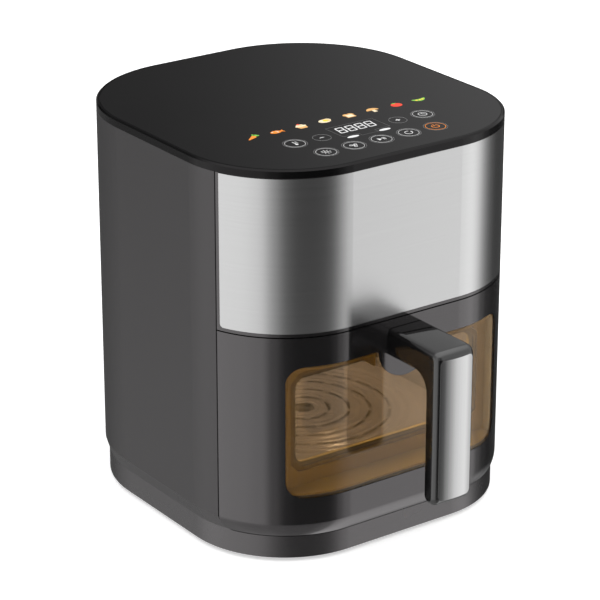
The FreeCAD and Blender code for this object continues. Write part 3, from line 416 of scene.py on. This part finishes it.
def basket_loop(low, high, inset, z):
    """Level outline of the pan, drawn in by the inset."""
    front, rear = max(PAN_FRONT_CORNER - inset, LEAST_CORNER), max(PAN_REAR_CORNER - inset, LEAST_CORNER)
    x0, x1, y0, y1 = low.x + inset, high.x - inset, low.y + inset, high.y - inset
    corners = [(x0, y0, front), (x1, y0, front), (x1, y1, rear), (x0, y1, rear)]
    return [(point.x, point.y, z) for point in rounded_points(corners)]


def basket_piece():
    """Pan from the outer floor up the outside, over the hem and down the inside."""
    low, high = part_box("basket")
    hem, wall, floor_round, steps = 1.5 * MM, 1.2 * MM, 14 * MM, 6
    inner = hem + wall
    rows = [(hem + inwards, low.z + up) for inwards, up in quarter_round(floor_round, steps)]
    rows += [(hem, high.z - 4 * hem), (hem, high.z - 1.2 * hem), (0.3 * hem, high.z - hem),
             (0, high.z - 0.5 * hem), (0.3 * hem, high.z), (inner, high.z), (inner, high.z - 4 * hem)]
    rows += [(inner + inwards, low.z + wall + up)
             for inwards, up in quarter_round(floor_round - wall, steps)[::-1]]
    bm = bmesh.new()
    stack_of_loops(bm, [basket_loop(low, high, inset, z) for inset, z in rows])
    mesh = cut_window(mesh_from(bm, "basket_pan"))
    place_piece("basket_pan", mesh, "drawer", "coated_steel", ["basket"])


def cut_window(mesh):
    """Take the opening for the basket's window out of its front wall."""
    low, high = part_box("inner_glass_seal")
    grow, corner, past = 0.15 * MM, 9 * MM, 10 * MM
    x0, x1, z0, z1 = low.x - grow, high.x + grow, low.z - grow, high.z + grow
    corners = [(x0, z0, corner), (x1, z0, corner), (x1, z1, corner), (x0, z1, corner)]
    outline = rounded_points(corners, steps=6)
    bm = bmesh.new()
    stack_of_loops(bm, [[(point.x, y, point.y) for point in outline]
                        for y in (low.y - past, high.y + past)])
    tool = bpy.data.objects.new("window_tool", mesh_from(bm, "window_tool"))
    body = bpy.data.objects.new("window_body", mesh)
    for item in (tool, body):
        scene.collection.objects.link(item)
    cut = body.modifiers.new("cut", "BOOLEAN")
    cut.object, cut.operation, cut.solver = tool, "DIFFERENCE", "EXACT"
    made = applied(body)
    for item in (tool, body):
        bpy.data.objects.remove(item)
    return made


handle_piece()
grip_plate()
basket_piece()


# Patterns: geometry node trees for what repeats or follows a path
def node_pattern(name, inputs):
    """Empty geometry tree with named inputs, and its two end nodes."""
    tree = bpy.data.node_groups.new(name, "GeometryNodeTree")
    for label, kind in [("Geometry", "Geometry")] + inputs + [("Finish", "Material")]:
        tree.interface.new_socket(label, in_out="INPUT", socket_type="NodeSocket" + kind)
    tree.interface.new_socket("Geometry", in_out="OUTPUT", socket_type="NodeSocketGeometry")
    return tree, tree.nodes.new("NodeGroupInput"), tree.nodes.new("NodeGroupOutput")


def close_pattern(tree, start, end, geometry):
    """Make the copies real and give them their finish."""
    real = tree.nodes.new("GeometryNodeRealizeInstances")
    paint = tree.nodes.new("GeometryNodeSetMaterial")
    tree.links.new(geometry, real.inputs["Geometry"])
    tree.links.new(real.outputs["Geometry"], paint.inputs["Geometry"])
    tree.links.new(start.outputs["Finish"], paint.inputs["Material"])
    tree.links.new(paint.outputs["Geometry"], end.inputs["Geometry"])
    return tree


def tube_pattern():
    """Round tube along each run of edges, bent at the corners."""
    tree, start, end = node_pattern("tube_along_edges", [
        ("Tube Radius", "Float"), ("Bend Radius", "Float")])
    run = tree.nodes.new("GeometryNodeMeshToCurve")
    bend = add(tree, "GeometryNodeFilletCurve", mode="POLY", Count=6)
    ring = add(tree, "GeometryNodeCurvePrimitiveCircle", Resolution=12)
    sweep = add(tree, "GeometryNodeCurveToMesh", **{"Fill Caps": True})
    tree.links.new(start.outputs["Geometry"], run.inputs["Mesh"])
    tree.links.new(run.outputs["Curve"], bend.inputs["Curve"])
    tree.links.new(start.outputs["Bend Radius"], bend.inputs["Radius"])
    tree.links.new(start.outputs["Tube Radius"], ring.inputs["Radius"])
    tree.links.new(bend.outputs["Curve"], sweep.inputs["Curve"])
    tree.links.new(ring.outputs["Curve"], sweep.inputs["Profile Curve"])
    return close_pattern(tree, start, end, sweep.outputs["Mesh"])


def copies_pattern():
    """One copy of an object on each point."""
    tree, start, end = node_pattern("copies_on_points", [("Copy", "Object")])
    source = tree.nodes.new("GeometryNodeObjectInfo")
    spread = tree.nodes.new("GeometryNodeInstanceOnPoints")
    tree.links.new(start.outputs["Copy"], source.inputs["Object"])
    tree.links.new(start.outputs["Geometry"], spread.inputs["Points"])
    tree.links.new(source.outputs["Geometry"], spread.inputs["Instance"])
    return close_pattern(tree, start, end, spread.outputs["Instances"])


def ring_pattern():
    """A ring round each point, swept with an oval section."""
    tree, start, end = node_pattern("rings_round_points", [
        ("Ring Radius", "Float"), ("Half Width", "Float"), ("Half Height", "Float")])
    circle = add(tree, "GeometryNodeCurvePrimitiveCircle", Resolution=96, Radius=1.0)
    spread = tree.nodes.new("GeometryNodeInstanceOnPoints")
    real = tree.nodes.new("GeometryNodeRealizeInstances")
    upright = add(tree, "GeometryNodeSetCurveNormal", mode="Z_UP")
    section = add(tree, "GeometryNodeCurvePrimitiveCircle", Resolution=16, Radius=1.0)
    squash = tree.nodes.new("GeometryNodeTransform")
    size = tree.nodes.new("ShaderNodeCombineXYZ")
    sweep = tree.nodes.new("GeometryNodeCurveToMesh")
    for source, target in (
            (start.outputs["Geometry"], spread.inputs["Points"]),
            (circle.outputs["Curve"], spread.inputs["Instance"]),
            (start.outputs["Ring Radius"], spread.inputs["Scale"]),
            (spread.outputs["Instances"], real.inputs["Geometry"]),
            (real.outputs["Geometry"], upright.inputs["Curve"]),
            (start.outputs["Half Width"], size.inputs["X"]),
            (start.outputs["Half Height"], size.inputs["Y"]),
            (size.outputs["Vector"], squash.inputs["Scale"]),
            (section.outputs["Curve"], squash.inputs["Geometry"]),
            (upright.outputs["Curve"], sweep.inputs["Curve"]),
            (squash.outputs["Geometry"], sweep.inputs["Profile Curve"])):
        tree.links.new(source, target)
    return close_pattern(tree, start, end, sweep.outputs["Mesh"])


def run_pattern(name, tree, points, edges=(), sharp_deg=40.0, **inputs):
    """Plain mesh that a pattern makes from the given points and edges."""
    seed = bpy.data.meshes.new(name)
    seed.from_pydata(points, edges, [])
    carrier = bpy.data.objects.new(name, seed)
    scene.collection.objects.link(carrier)
    grow = carrier.modifiers.new("pattern", "NODES")
    grow.node_group = tree
    for item in tree.interface.items_tree:
        label = item.name.replace(" ", "_").lower()
        if item.in_out == "INPUT" and label in inputs:
            grow[item.identifier] = inputs[label]
    made = applied(carrier)
    bpy.data.objects.remove(carrier)
    made.name = name
    made.shade_smooth()
    made.set_sharp_from_angle(angle=math.radians(sharp_deg))
    return made


tubes, copies, rings = tube_pattern(), copies_pattern(), ring_pattern()


def copies_of(name, model_mesh, points, finish):
    """One mesh with a copy of the model on each point."""
    model = bpy.data.objects.new(name + "_model", model_mesh)
    scene.collection.objects.link(model)
    mesh = run_pattern(name, copies, points, copy=model, finish=finishes[finish])
    bpy.data.objects.remove(model)
    return mesh


def lathe(name, rows, sides=32):
    """Round solid from (radius, height) rows, closed at both ends."""
    bm = bmesh.new()
    turns = full_turn(sides)
    stack_of_loops(bm, [[(radius * math.cos(turn), radius * math.sin(turn), z) for turn in turns]
                        for radius, z in rows])
    return mesh_from(bm, name)


# Cooking parts
PLATE_MIDDLE_Y = 21.35 * MM
PLATE_FRONT_CORNER = 12 * MM
PLATE_REAR_CORNER = 40 * MM
FIRST_SLOT = 21 * MM


def edge_reach(turn, low, high):
    """How far a ray from the ring centre runs before it leaves the plate's rounded outline."""
    along = Vector((math.cos(turn), math.sin(turn)))

    def inside(distance):
        x, y = abs(along.x) * distance, PLATE_MIDDLE_Y + along.y * distance
        if y < PLATE_MIDDLE_Y:
            radius, past_y = PLATE_FRONT_CORNER, low.y + PLATE_FRONT_CORNER - y
        else:
            radius, past_y = PLATE_REAR_CORNER, y - (high.y - PLATE_REAR_CORNER)
        past_x = x - (high.x - radius)
        if past_x > 0 and past_y > 0:
            return math.hypot(past_x, past_y) < radius
        return x < high.x and low.y < y < high.y

    near, far = 0.0, 2 * high.x
    for _ in range(40):
        half = (near + far) / 2
        near, far = (half, far) if inside(half) else (near, half)
    return near


def is_slot(radius, turn):
    """Whether a place on the plate lies in one of its curved slots, which sit in every second valley."""
    pitch, half, slot_rings = 16 * MM, 1.1 * MM, 4
    fewest, more, bridge, stagger = 6, 5, 0.22, 0.37
    ring = round((radius - FIRST_SLOT) / pitch)
    if not 0 <= ring < slot_rings or abs(radius - FIRST_SLOT - ring * pitch) > half:
        return False
    count = fewest + more * ring
    return ((turn / (2 * math.pi)) * count + stagger * ring) % 1.0 > bridge


def crisper_piece():
    """Pressed plate with ring ripples and curved slots."""
    low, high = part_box("crisper_plate")
    eye, round_out, thick = 9 * MM, 88 * MM, 1.0 * MM
    ripple, depth, sides, step, rims = 8 * MM, 1.1 * MM, 240, 1 * MM, 4
    turns = full_turn(sides)
    reach = [edge_reach(turn, low, high) for turn in turns]
    rows = round((round_out - eye) / step)
    bm = bmesh.new()
    grid = []
    for row in range(rows + rims + 1):
        radius = eye + min(row, rows) * step
        dip = depth * (1 + math.cos(2 * math.pi * (radius - FIRST_SLOT) / ripple)) / 2
        share = max(row - rows, 0) / rims
        z = high.z - dip * (1 - share)
        outs = [radius + (far - radius) * share for far in reach]
        grid.append([bm.verts.new((out * math.cos(turn), PLATE_MIDDLE_Y + out * math.sin(turn), z))
                     for turn, out in zip(turns, outs)])
    for row in range(rows + rims):
        for side in range(sides):
            after = (side + 1) % sides
            if not is_slot(eye + (row + 0.5) * step, turns[side]):
                bm.faces.new((grid[row][side], grid[row + 1][side], grid[row + 1][after], grid[row][after]))
    sheet = bpy.data.objects.new("crisper_sheet", mesh_from(bm, "crisper_sheet", sharp_deg=60))
    scene.collection.objects.link(sheet)
    solid = sheet.modifiers.new("thick", "SOLIDIFY")
    solid.thickness, solid.offset = thick, -1.0
    mesh = applied(sheet)
    bpy.data.objects.remove(sheet)
    place_piece("crisper_rippled", mesh, "crisper", "coated_steel", ["crisper_plate"])


def fan_middle_y():
    """Place of the fan's axis, which the element and its guard share."""
    low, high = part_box("hot_air_fan")
    return ((low + high) / 2).y


def heater_tube():
    """Round tube of the heating element, with its two legs up through the dome."""
    low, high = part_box("heating_element")
    tube, radius, turns, leg_x, bend = 2.6 * MM, 77 * MM, 72, 14 * MM, 5 * MM
    centre = Vector((0.0, fan_middle_y(), low.z + tube))
    leg_turn = math.asin(leg_x / radius)
    ring = []
    for step in range(turns + 1):
        turn = math.pi + leg_turn + (2 * math.pi - 2 * leg_turn) * step / turns
        ring.append(centre + Vector((radius * math.cos(turn), radius * math.sin(turn), 0)))
    top = Vector((0, 0, high.z - centre.z))
    path = [ring[0] + top] + ring + [ring[-1] + top]
    mesh = run_pattern("heater_tube", tubes, path, [(i, i + 1) for i in range(len(path) - 1)],
                       tube_radius=tube, bend_radius=bend, finish=finishes["element_steel"])
    place_piece("heater_tube", mesh, "housing", "element_steel", ["heating_element"])


def guard_wires():
    """Wire guard under the element: cross wires on two rails."""
    low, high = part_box("element_guard")
    wire, rail_x, pitch, count = 1.5 * MM, 50 * MM, 23 * MM, 7
    middle_y = fan_middle_y()
    points = []
    for x in (-rail_x, rail_x):
        points += [(x, low.y, low.z + wire), (x, high.y, low.z + wire)]
    for index in range(count):
        y = middle_y + (index - (count - 1) / 2) * pitch
        points += [(low.x, y, high.z - wire), (high.x, y, high.z - wire)]
    mesh = run_pattern("guard_wires", tubes, points, [(i, i + 1) for i in range(0, len(points), 2)],
                       tube_radius=wire, bend_radius=0.0, finish=finishes["zinc"])
    place_piece("guard_wires", mesh, "housing", "zinc", ["element_guard"])


crisper_piece()
heater_tube()
guard_wires()


# Underside
def foot_pads():
    """Round rubber feet with a soft lower edge and a hollow middle."""
    low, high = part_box("rubber_feet")
    radius, hollow = 11 * MM, 1.2 * MM
    model = lathe("foot_model", [
        (3 * MM, hollow), (6 * MM, hollow), (7 * MM, 0.0), (radius - 1.2 * MM, 0.0),
        (radius - 0.3 * MM, 0.4 * MM), (radius, 1.2 * MM), (radius, high.z)])
    points = [(x, y, 0.0) for x in (low.x + radius, high.x - radius)
              for y in (low.y + radius, high.y - radius)]
    mesh = copies_of("foot_pads", model, points, "rubber")
    place_piece("foot_pads", mesh, "housing", "rubber", ["rubber_feet"])


def base_screws():
    """Dome head screws under the base."""
    low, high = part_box("base_tray")
    screw_x, from_front, from_rear = 60 * MM, 33 * MM, 30 * MM
    rows = [(3.4 * MM, 0.3 * MM), (3.4 * MM, -0.3 * MM), (2.8 * MM, -0.8 * MM), (1.8 * MM, -1.1 * MM)]
    model = lathe("screw_model", rows, sides=24)
    points = [(x, y, low.z) for x in (-screw_x, screw_x) for y in (low.y + from_front, high.y - from_rear)]
    mesh = copies_of("base_screws", model, points, "zinc")
    place_piece("base_screws", mesh, "housing", "zinc")


foot_pads()
base_screws()


# Touch panel print: outlines in millimetres about a key's own centre
def oval(x, y, half_x, half_y, sides=28):
    """Closed outline of an ellipse."""
    return [(x + half_x * math.cos(turn), y + half_y * math.sin(turn)) for turn in full_turn(sides)]


def stroke(x0, y0, x1, y1, width):
    """Straight bar from one point to another."""
    along = Vector((x1 - x0, y1 - y0)).normalized() * width / 2
    side = Vector((-along.y, along.x))
    return [(x0 + side.x, y0 + side.y), (x0 - side.x, y0 - side.y), (x1 - side.x, y1 - side.y),
            (x1 + side.x, y1 + side.y)]


def arc_band(x, y, radius, width, start, end, steps=24):
    """Part of a ring between two angles in degrees."""
    turns = [math.radians(start + (end - start) * step / steps) for step in range(steps + 1)]
    outer, inner = ([(x + out * math.cos(turn), y + out * math.sin(turn)) for turn in turns]
                    for out in (radius + width / 2, radius - width / 2))
    return outer + inner[::-1]


def thin_ring(x, y, radius):
    """Ring left open by one degree, so that its outline doesn't cross itself."""
    return arc_band(x, y, radius, 0.45, 0, 359)


def power_sign():
    return [arc_band(0, 0, 3.0, 0.55, 125, 415), stroke(0, 0.6, 0, 4.0, 0.6)]


def clock_sign():
    return [thin_ring(0, 0, 3.4), stroke(0, 0, 0, 2.4, 0.45), stroke(0, 0, 1.7, -0.6, 0.45)]


def heat_sign():
    marks = [stroke(1.4, y, 2.8, y, 0.4) for y in (0, 1.5, 3)]
    return [stroke(0, -1.6, 0, 3.8, 0.7), oval(0, -2.4, 1.2, 1.2)] + marks


def lamp_sign():
    near, far = 2.6, 4
    rays = [Vector((math.cos(turn), math.sin(turn))) for turn in full_turn(8)]
    return [thin_ring(0, 0, 1.5)] + [
        stroke(ray.x * near, ray.y * near, ray.x * far, ray.y * far, 0.45) for ray in rays]


def fan_sign():
    reach = 2.2
    blades = [math.radians(120 * blade + 30) for blade in range(3)]
    return [oval(0, 0, 0.6, 0.6)] + [
        thin_ring(reach * math.cos(turn), reach * math.sin(turn), 1.2) for turn in blades]


def loop_sign():
    return [arc_band(0, 0, 3.0, 0.5, 60, 350), [(2.1, 0.2), (4.1, 0.2), (3.1, 1.9)]]


def start_sign():
    bars = [stroke(x, -2.1, x, 2.1, 0.55) for x in (1.6, 3.0)]
    return [[(-3.0, -2.2), (-3.0, 2.2), (0.2, 0)]] + bars


def digit(width, height, slant, bar):
    """One seven-segment eight, leaning by the slant."""
    gap, half = 0.35, height / 2
    bars = [stroke(gap + bar / 2, y, width - gap - bar / 2, y, bar)
            for y in (bar / 2, half, height - bar / 2)]
    for side in (bar / 2, width - bar / 2):
        bars += [stroke(side, low + gap, side, low + half - gap, bar) for low in (0, half)]
    return [[(x + slant * y, y) for x, y in outline] for outline in bars]


def carrot():
    return [("orange", [[(-4.2, -2.6), (-3.8, -3.1), (2.4, -1.0), (3.1, 0.6), (2.0, 2.0), (0.6, 1.8)]]),
            ("green", [oval(4.0, 1.0, 1.6, 0.7), oval(3.5, 2.3, 1.3, 0.8), oval(2.6, 3.0, 0.7, 1.3)])]


def fish():
    return [("orange", [oval(-0.6, 0, 3.6, 2.1), [(2.3, 0), (4.8, 2.1), (4.2, 0), (4.8, -2.1)]]),
            ("white", [oval(-2.7, 0.6, 0.5, 0.5), arc_band(-0.8, 0, 1.5, 0.4, -60, 60)])]


def cupcake():
    return [("tan", [[(-2.4, -3.4), (2.4, -3.4), (3.2, -0.4), (-3.2, -0.4)]]),
            ("cream", [oval(0, 0.5, 3.7, 1.4), oval(0, 1.9, 2.4, 1.2)]),
            ("red", [oval(0, 3.4, 0.9, 0.9)])]


def fried_egg():
    return [("cream", [oval(-0.5, 0, 4.0, 2.8), oval(1.6, 0.9, 2.6, 2.2)]),
            ("yellow", [oval(0.2, 0.2, 1.6, 1.5)])]


def bread_slice():
    crust = [[(-3, -3.2), (3, -3.2), (3, 0.4), (-3, 0.4)]]
    crust += [oval(x, 1.2, 2.2, 1.9) for x in (-1.4, 1.4)]
    return [("tan", crust), ("cream", [[(-2.3, -2.6), (2.3, -2.6), (2.3, 1.4), (-2.3, 1.4)]])]


def mushroom():
    return [("tan", [[(x, max(y, -0.2)) for x, y in oval(0, 0, 4.2, 3.4)]]),
            ("cream", [[(-1.3, -3.4), (1.3, -3.4), (1.0, -0.3), (-1.0, -0.3)]])]


def tomato():
    leaf = [(0, 1.6), (-1.9, 3.1), (-0.5, 2.6), (0, 3.9), (0.5, 2.6), (1.9, 3.1)]
    return [("red", [oval(0, -0.4, 3.7, 3.1)]), ("green", [leaf])]


def pea_pod():
    bend = 0.09
    return [("green", [[(x, y + bend * x * x) for x, y in oval(0, -0.8, 4.8, 1.7)]]),
            ("yellow", [oval(x, -0.8 + bend * x * x, 0.85, 0.85, 16) for x in (-2.2, 0, 2.2)])]


# Centres on the touch panel, in millimetres
FOOD_PLACES = [(-77.5 + index * 22.4, -22.65) for index in range(8)]
LOWER_KEYS = [(-51.9 + index * 25.35, -80.65) for index in range(5)]
UPPER_KEYS = [(-59.5, -52.15), (59.5, -52.15)]
SIGN_KEYS = [(-35.4, -52.65), (35.5, -52.65)]
MARK_PLACES = [(-15.0, -64.15), (14.0, -64.65)]
DIGIT_PLACES = [(-18.0 + index * 8.9, -53.4) for index in range(4)]
FOOD_SCALE = 1.3


def display_line():
    """Thin line round the digits, with a notch on the side of the lower keys."""
    half_wide, near, far, notch_half, notch_low = 21.7, -60.6, -38.0, 7.5, -65.5
    corners = [(-half_wide, near), (-half_wide, far), (half_wide, far), (half_wide, near),
               (notch_half, near), (notch_half, notch_low), (-notch_half, notch_low),
               (-notch_half, near), (-half_wide, near)]
    return [stroke(*start, *end, 0.4) for start, end in zip(corners, corners[1:])]


def panel_prints():
    """All printed shapes by ink, as (centre, layer, outlines)."""
    prints = {name: [] for name in INKS}
    foods = (carrot, fish, cupcake, fried_egg, bread_slice, mushroom, tomato, pea_pod)
    for centre, food in zip(FOOD_PLACES, foods):
        for layer, (ink, outlines) in enumerate(food()):
            larger = [[(FOOD_SCALE * x, FOOD_SCALE * y) for x, y in outline] for outline in outlines]
            prints[ink].append((centre, layer, larger))
    for centre, sign in zip(LOWER_KEYS, (lamp_sign, fan_sign, start_sign, loop_sign, power_sign)):
        ink = "orange" if sign is power_sign else "white"
        prints[ink].append((centre, 0, sign()))
    minus = [stroke(-2, 0, 2, 0, 0.7)]
    plus = minus + [stroke(0, -2, 0, 2, 0.7)]
    mark = [oval(0, 0, 5.2, 1.9)]
    signs = (heat_sign(), clock_sign(), minus, plus, mark, mark)
    for centre, outlines in zip(UPPER_KEYS + SIGN_KEYS + MARK_PLACES, signs):
        prints["white"].append((centre, 0, outlines))
    for centre in DIGIT_PLACES:
        prints["white"].append((centre, 0, digit(width=6.8, height=11.8, slant=0.14, bar=1.0)))
    prints["dim"].append(((0, 0), 0, display_line()))
    return prints


def touch_panel_print():
    """Thin inked solids on the touch panel, one piece for each ink."""
    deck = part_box("control_panel")[1].z
    thick, lift = 0.1 * MM, 0.04 * MM
    for ink, groups in panel_prints().items():
        if not groups:
            continue
        bm = bmesh.new()
        for (key_x, key_y), layer, outlines in groups:
            for outline in outlines:
                stack_of_loops(bm, [[((key_x + x) * MM, (key_y + y) * MM, z) for x, y in outline]
                                    for z in (deck - lift, deck + thick + layer * lift)])
        place_piece("print_" + ink, mesh_from(bm, "print_" + ink), "housing", "ink_" + ink)


def key_rings():
    """Printed rings round the touch keys."""
    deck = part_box("control_panel")[1].z
    half_high = 0.08
    for name, keys, radius, half_wide, ink in (
            ("inner", LOWER_KEYS[:-1] + UPPER_KEYS, 7.8, 0.15, "white"),
            ("last", LOWER_KEYS[-1:], 7.8, 0.22, "orange"),
            ("outer", LOWER_KEYS + UPPER_KEYS, 9.3, 0.09, "grey"),
            ("sign", SIGN_KEYS, 7.0, 0.1, "grey")):
        mesh = run_pattern("key_rings_" + name, rings, [(x * MM, y * MM, deck) for x, y in keys],
                           ring_radius=radius * MM, half_width=half_wide * MM, half_height=half_high * MM,
                           finish=finishes["ink_" + ink])
        place_piece("key_rings_" + name, mesh, "housing", "ink_" + ink)


touch_panel_print()
key_rings()


# Studio: white floor, a surround that is bright on each side of the camera, and the camera
def floor_stage():
    """Wide pale floor that the polished pieces don't mirror."""
    bm = bmesh.new()
    bmesh.ops.create_grid(bm, x_segments=1, y_segments=1, size=30)
    mesh = bpy.data.meshes.new("studio_floor")
    bm.to_mesh(mesh)
    bm.free()
    material = start_material("pale_floor", {
        "Base Color": (0.86, 0.86, 0.86, 1), "Roughness": 0.9, "Emission Color": (1, 1, 1, 1),
        "Emission Strength": 0.5})[0]
    mesh.materials.append(material)
    floor = bpy.data.objects.new("studio_floor", mesh)
    floor.visible_glossy = False
    scene.collection.objects.link(floor)


def ramp(tree, fac, stops):
    """Grey levels along one angle, as (degrees, level) stops."""
    node = add(tree, "ShaderNodeValToRGB")
    node.color_ramp.interpolation = "EASE"
    ramp_elements = node.color_ramp.elements
    while len(ramp_elements) < len(stops):
        ramp_elements.new(0.5)
    for element, (degrees, level) in zip(ramp_elements, stops):
        element.position = (degrees + 180) / 360
        element.color = (level, level, level, 1)
    tree.links.new(fac, node.inputs["Fac"])
    return node.outputs["Color"]


# Grey levels of the surround by compass angle, in degrees from the front towards -x
LOW_STOPS = [
    (-180, 0.17), (-150, 0.1), (-118, 0.06), (-98, 0.05), (-84, 0.12), (-74, 0.35), (-64, 1.0), (-56, 1.38),
    (-46, 1.28), (-38, 1.08), (-31, 0.75), (-24, 0.43), (-17, 0.14), (-10, 0.05), (2, 0.04), (22, 0.04),
    (34, 0.1), (47, 0.44), (60, 1.04), (80, 1.18), (104, 1.2), (118, 1.25), (130, 1.08), (147, 0.66),
    (165, 0.38), (180, 0.17)]
NEAR_STOPS = [stop for stop in LOW_STOPS if stop[0] < 125]
NEAR_STOPS += [(130, 0.95), (147, 0.28), (165, 0.24), (180, 0.17)]
HIGH_STOPS = [
    (-180, 0.015), (-156, 0.015), (-148, 0.08), (-138, 0.36), (-120, 0.6), (-60, 1.1), (-30, 0.9), (5, 0.3),
    (40, 0.6), (70, 1.2), (120, 0.7), (160, 0.15), (180, 0.02)]
TABLE_STOPS = [
    (-180, 0.3), (-110, 0.35), (-80, 0.8), (-60, 1.5), (-38, 1.75), (-27, 1.55), (-14, 0.65), (5, 0.42),
    (25, 0.42), (45, 0.52), (62, 0.64), (100, 0.7), (140, 0.56), (180, 0.3)]
OVERHEAD = (1.7, 1.7, 1.7, 1)
WHITE = (1, 1, 1, 1)

# How steeply up or down, from -1 to 1, one set of levels gives way to the next
TABLE_TO_LOW = (-0.61, -0.43)
LOW_TO_NEAR = (-0.46, -0.26)
NEAR_TO_HIGH = (0.05, 0.2)
HIGH_TO_OVERHEAD = (0.55, 0.85)

# Indices of the colour sockets on a Mix node, because its other sockets have the same names
MIX_A = 6
MIX_B = 7
MIX_RESULT = 2


def studio_light():
    """Soft surround: grey levels by compass direction, brighter overhead, plain white behind the object."""
    world = bpy.data.worlds.new("studio")
    scene.world = world
    world.use_nodes = True
    tree = world.node_tree
    tree.nodes.clear()
    split = add(tree, "ShaderNodeSeparateXYZ")
    tree.links.new(add(tree, "ShaderNodeTexCoord").outputs["Generated"], split.inputs[0])
    x, y, z = (split.outputs[axis] for axis in "XYZ")
    angle = maths(tree, "ARCTAN2", maths(tree, "MULTIPLY", x, -1.0), maths(tree, "MULTIPLY", y, -1.0))
    turn = maths(tree, "ADD", maths(tree, "DIVIDE", angle, 2 * math.pi), 0.5)

    def rise(start, end):
        node = add(tree, "ShaderNodeMapRange", interpolation_type="SMOOTHSTEP",
                   **{"From Min": start, "From Max": end})
        tree.links.new(z, node.inputs["Value"])
        return node.outputs["Result"]

    def blend(factor, a, b):
        node = add(tree, "ShaderNodeMix", data_type="RGBA")
        tree.links.new(factor, node.inputs["Factor"])
        for socket, value in ((node.inputs[MIX_A], a), (node.inputs[MIX_B], b)):
            if isinstance(value, tuple):
                socket.default_value = value
            else:
                tree.links.new(value, socket)
        return node.outputs[MIX_RESULT]

    low = blend(rise(*TABLE_TO_LOW), ramp(tree, turn, TABLE_STOPS), ramp(tree, turn, LOW_STOPS))
    near = blend(rise(*LOW_TO_NEAR), low, ramp(tree, turn, NEAR_STOPS))
    high = blend(rise(*NEAR_TO_HIGH), near, ramp(tree, turn, HIGH_STOPS))
    lit = blend(rise(*HIGH_TO_OVERHEAD), high, OVERHEAD)
    seen = add(tree, "ShaderNodeLightPath").outputs["Is Camera Ray"]
    background = add(tree, "ShaderNodeBackground", Strength=1.0)
    tree.links.new(blend(seen, lit, WHITE), background.inputs["Color"])
    tree.links.new(background.outputs[0], add(tree, "ShaderNodeOutputWorld").inputs["Surface"])


def chamber_light():
    """The lamp's own light inside the cooking chamber."""
    low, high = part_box("lamp_lens")
    below = 3 * MM
    lamp = bpy.data.lights.new("chamber_glow", "AREA")
    lamp.size, lamp.energy, lamp.color = 0.02, 1.6, (1.0, 0.93, 0.93)
    glow = bpy.data.objects.new("chamber_glow", lamp)
    glow.location = ((low.x + high.x) / 2, (low.y + high.y) / 2, low.z - below)
    glow.visible_glossy = False
    scene.collection.objects.link(glow)


def studio_camera():
    """The photo's view, as fitted to its outline."""
    camera = bpy.data.cameras.new("photo_view")
    camera.sensor_width, camera.lens, camera.shift_x = 36.0, 162.63, 0.0075
    camera.clip_end = 100
    view = bpy.data.objects.new("photo_view", camera)
    view.location = (-1.1590, -1.58855, 0.9611)
    aimed_at = Vector((0, 0.03035, 0.15036))
    view.rotation_mode = "QUATERNION"
    view.rotation_quaternion = (aimed_at - view.location).to_track_quat("-Z", "Y")
    scene.collection.objects.link(view)
    scene.camera = view


floor_stage()
studio_light()
chamber_light()
studio_camera()
scene.view_settings.view_transform = "Standard"
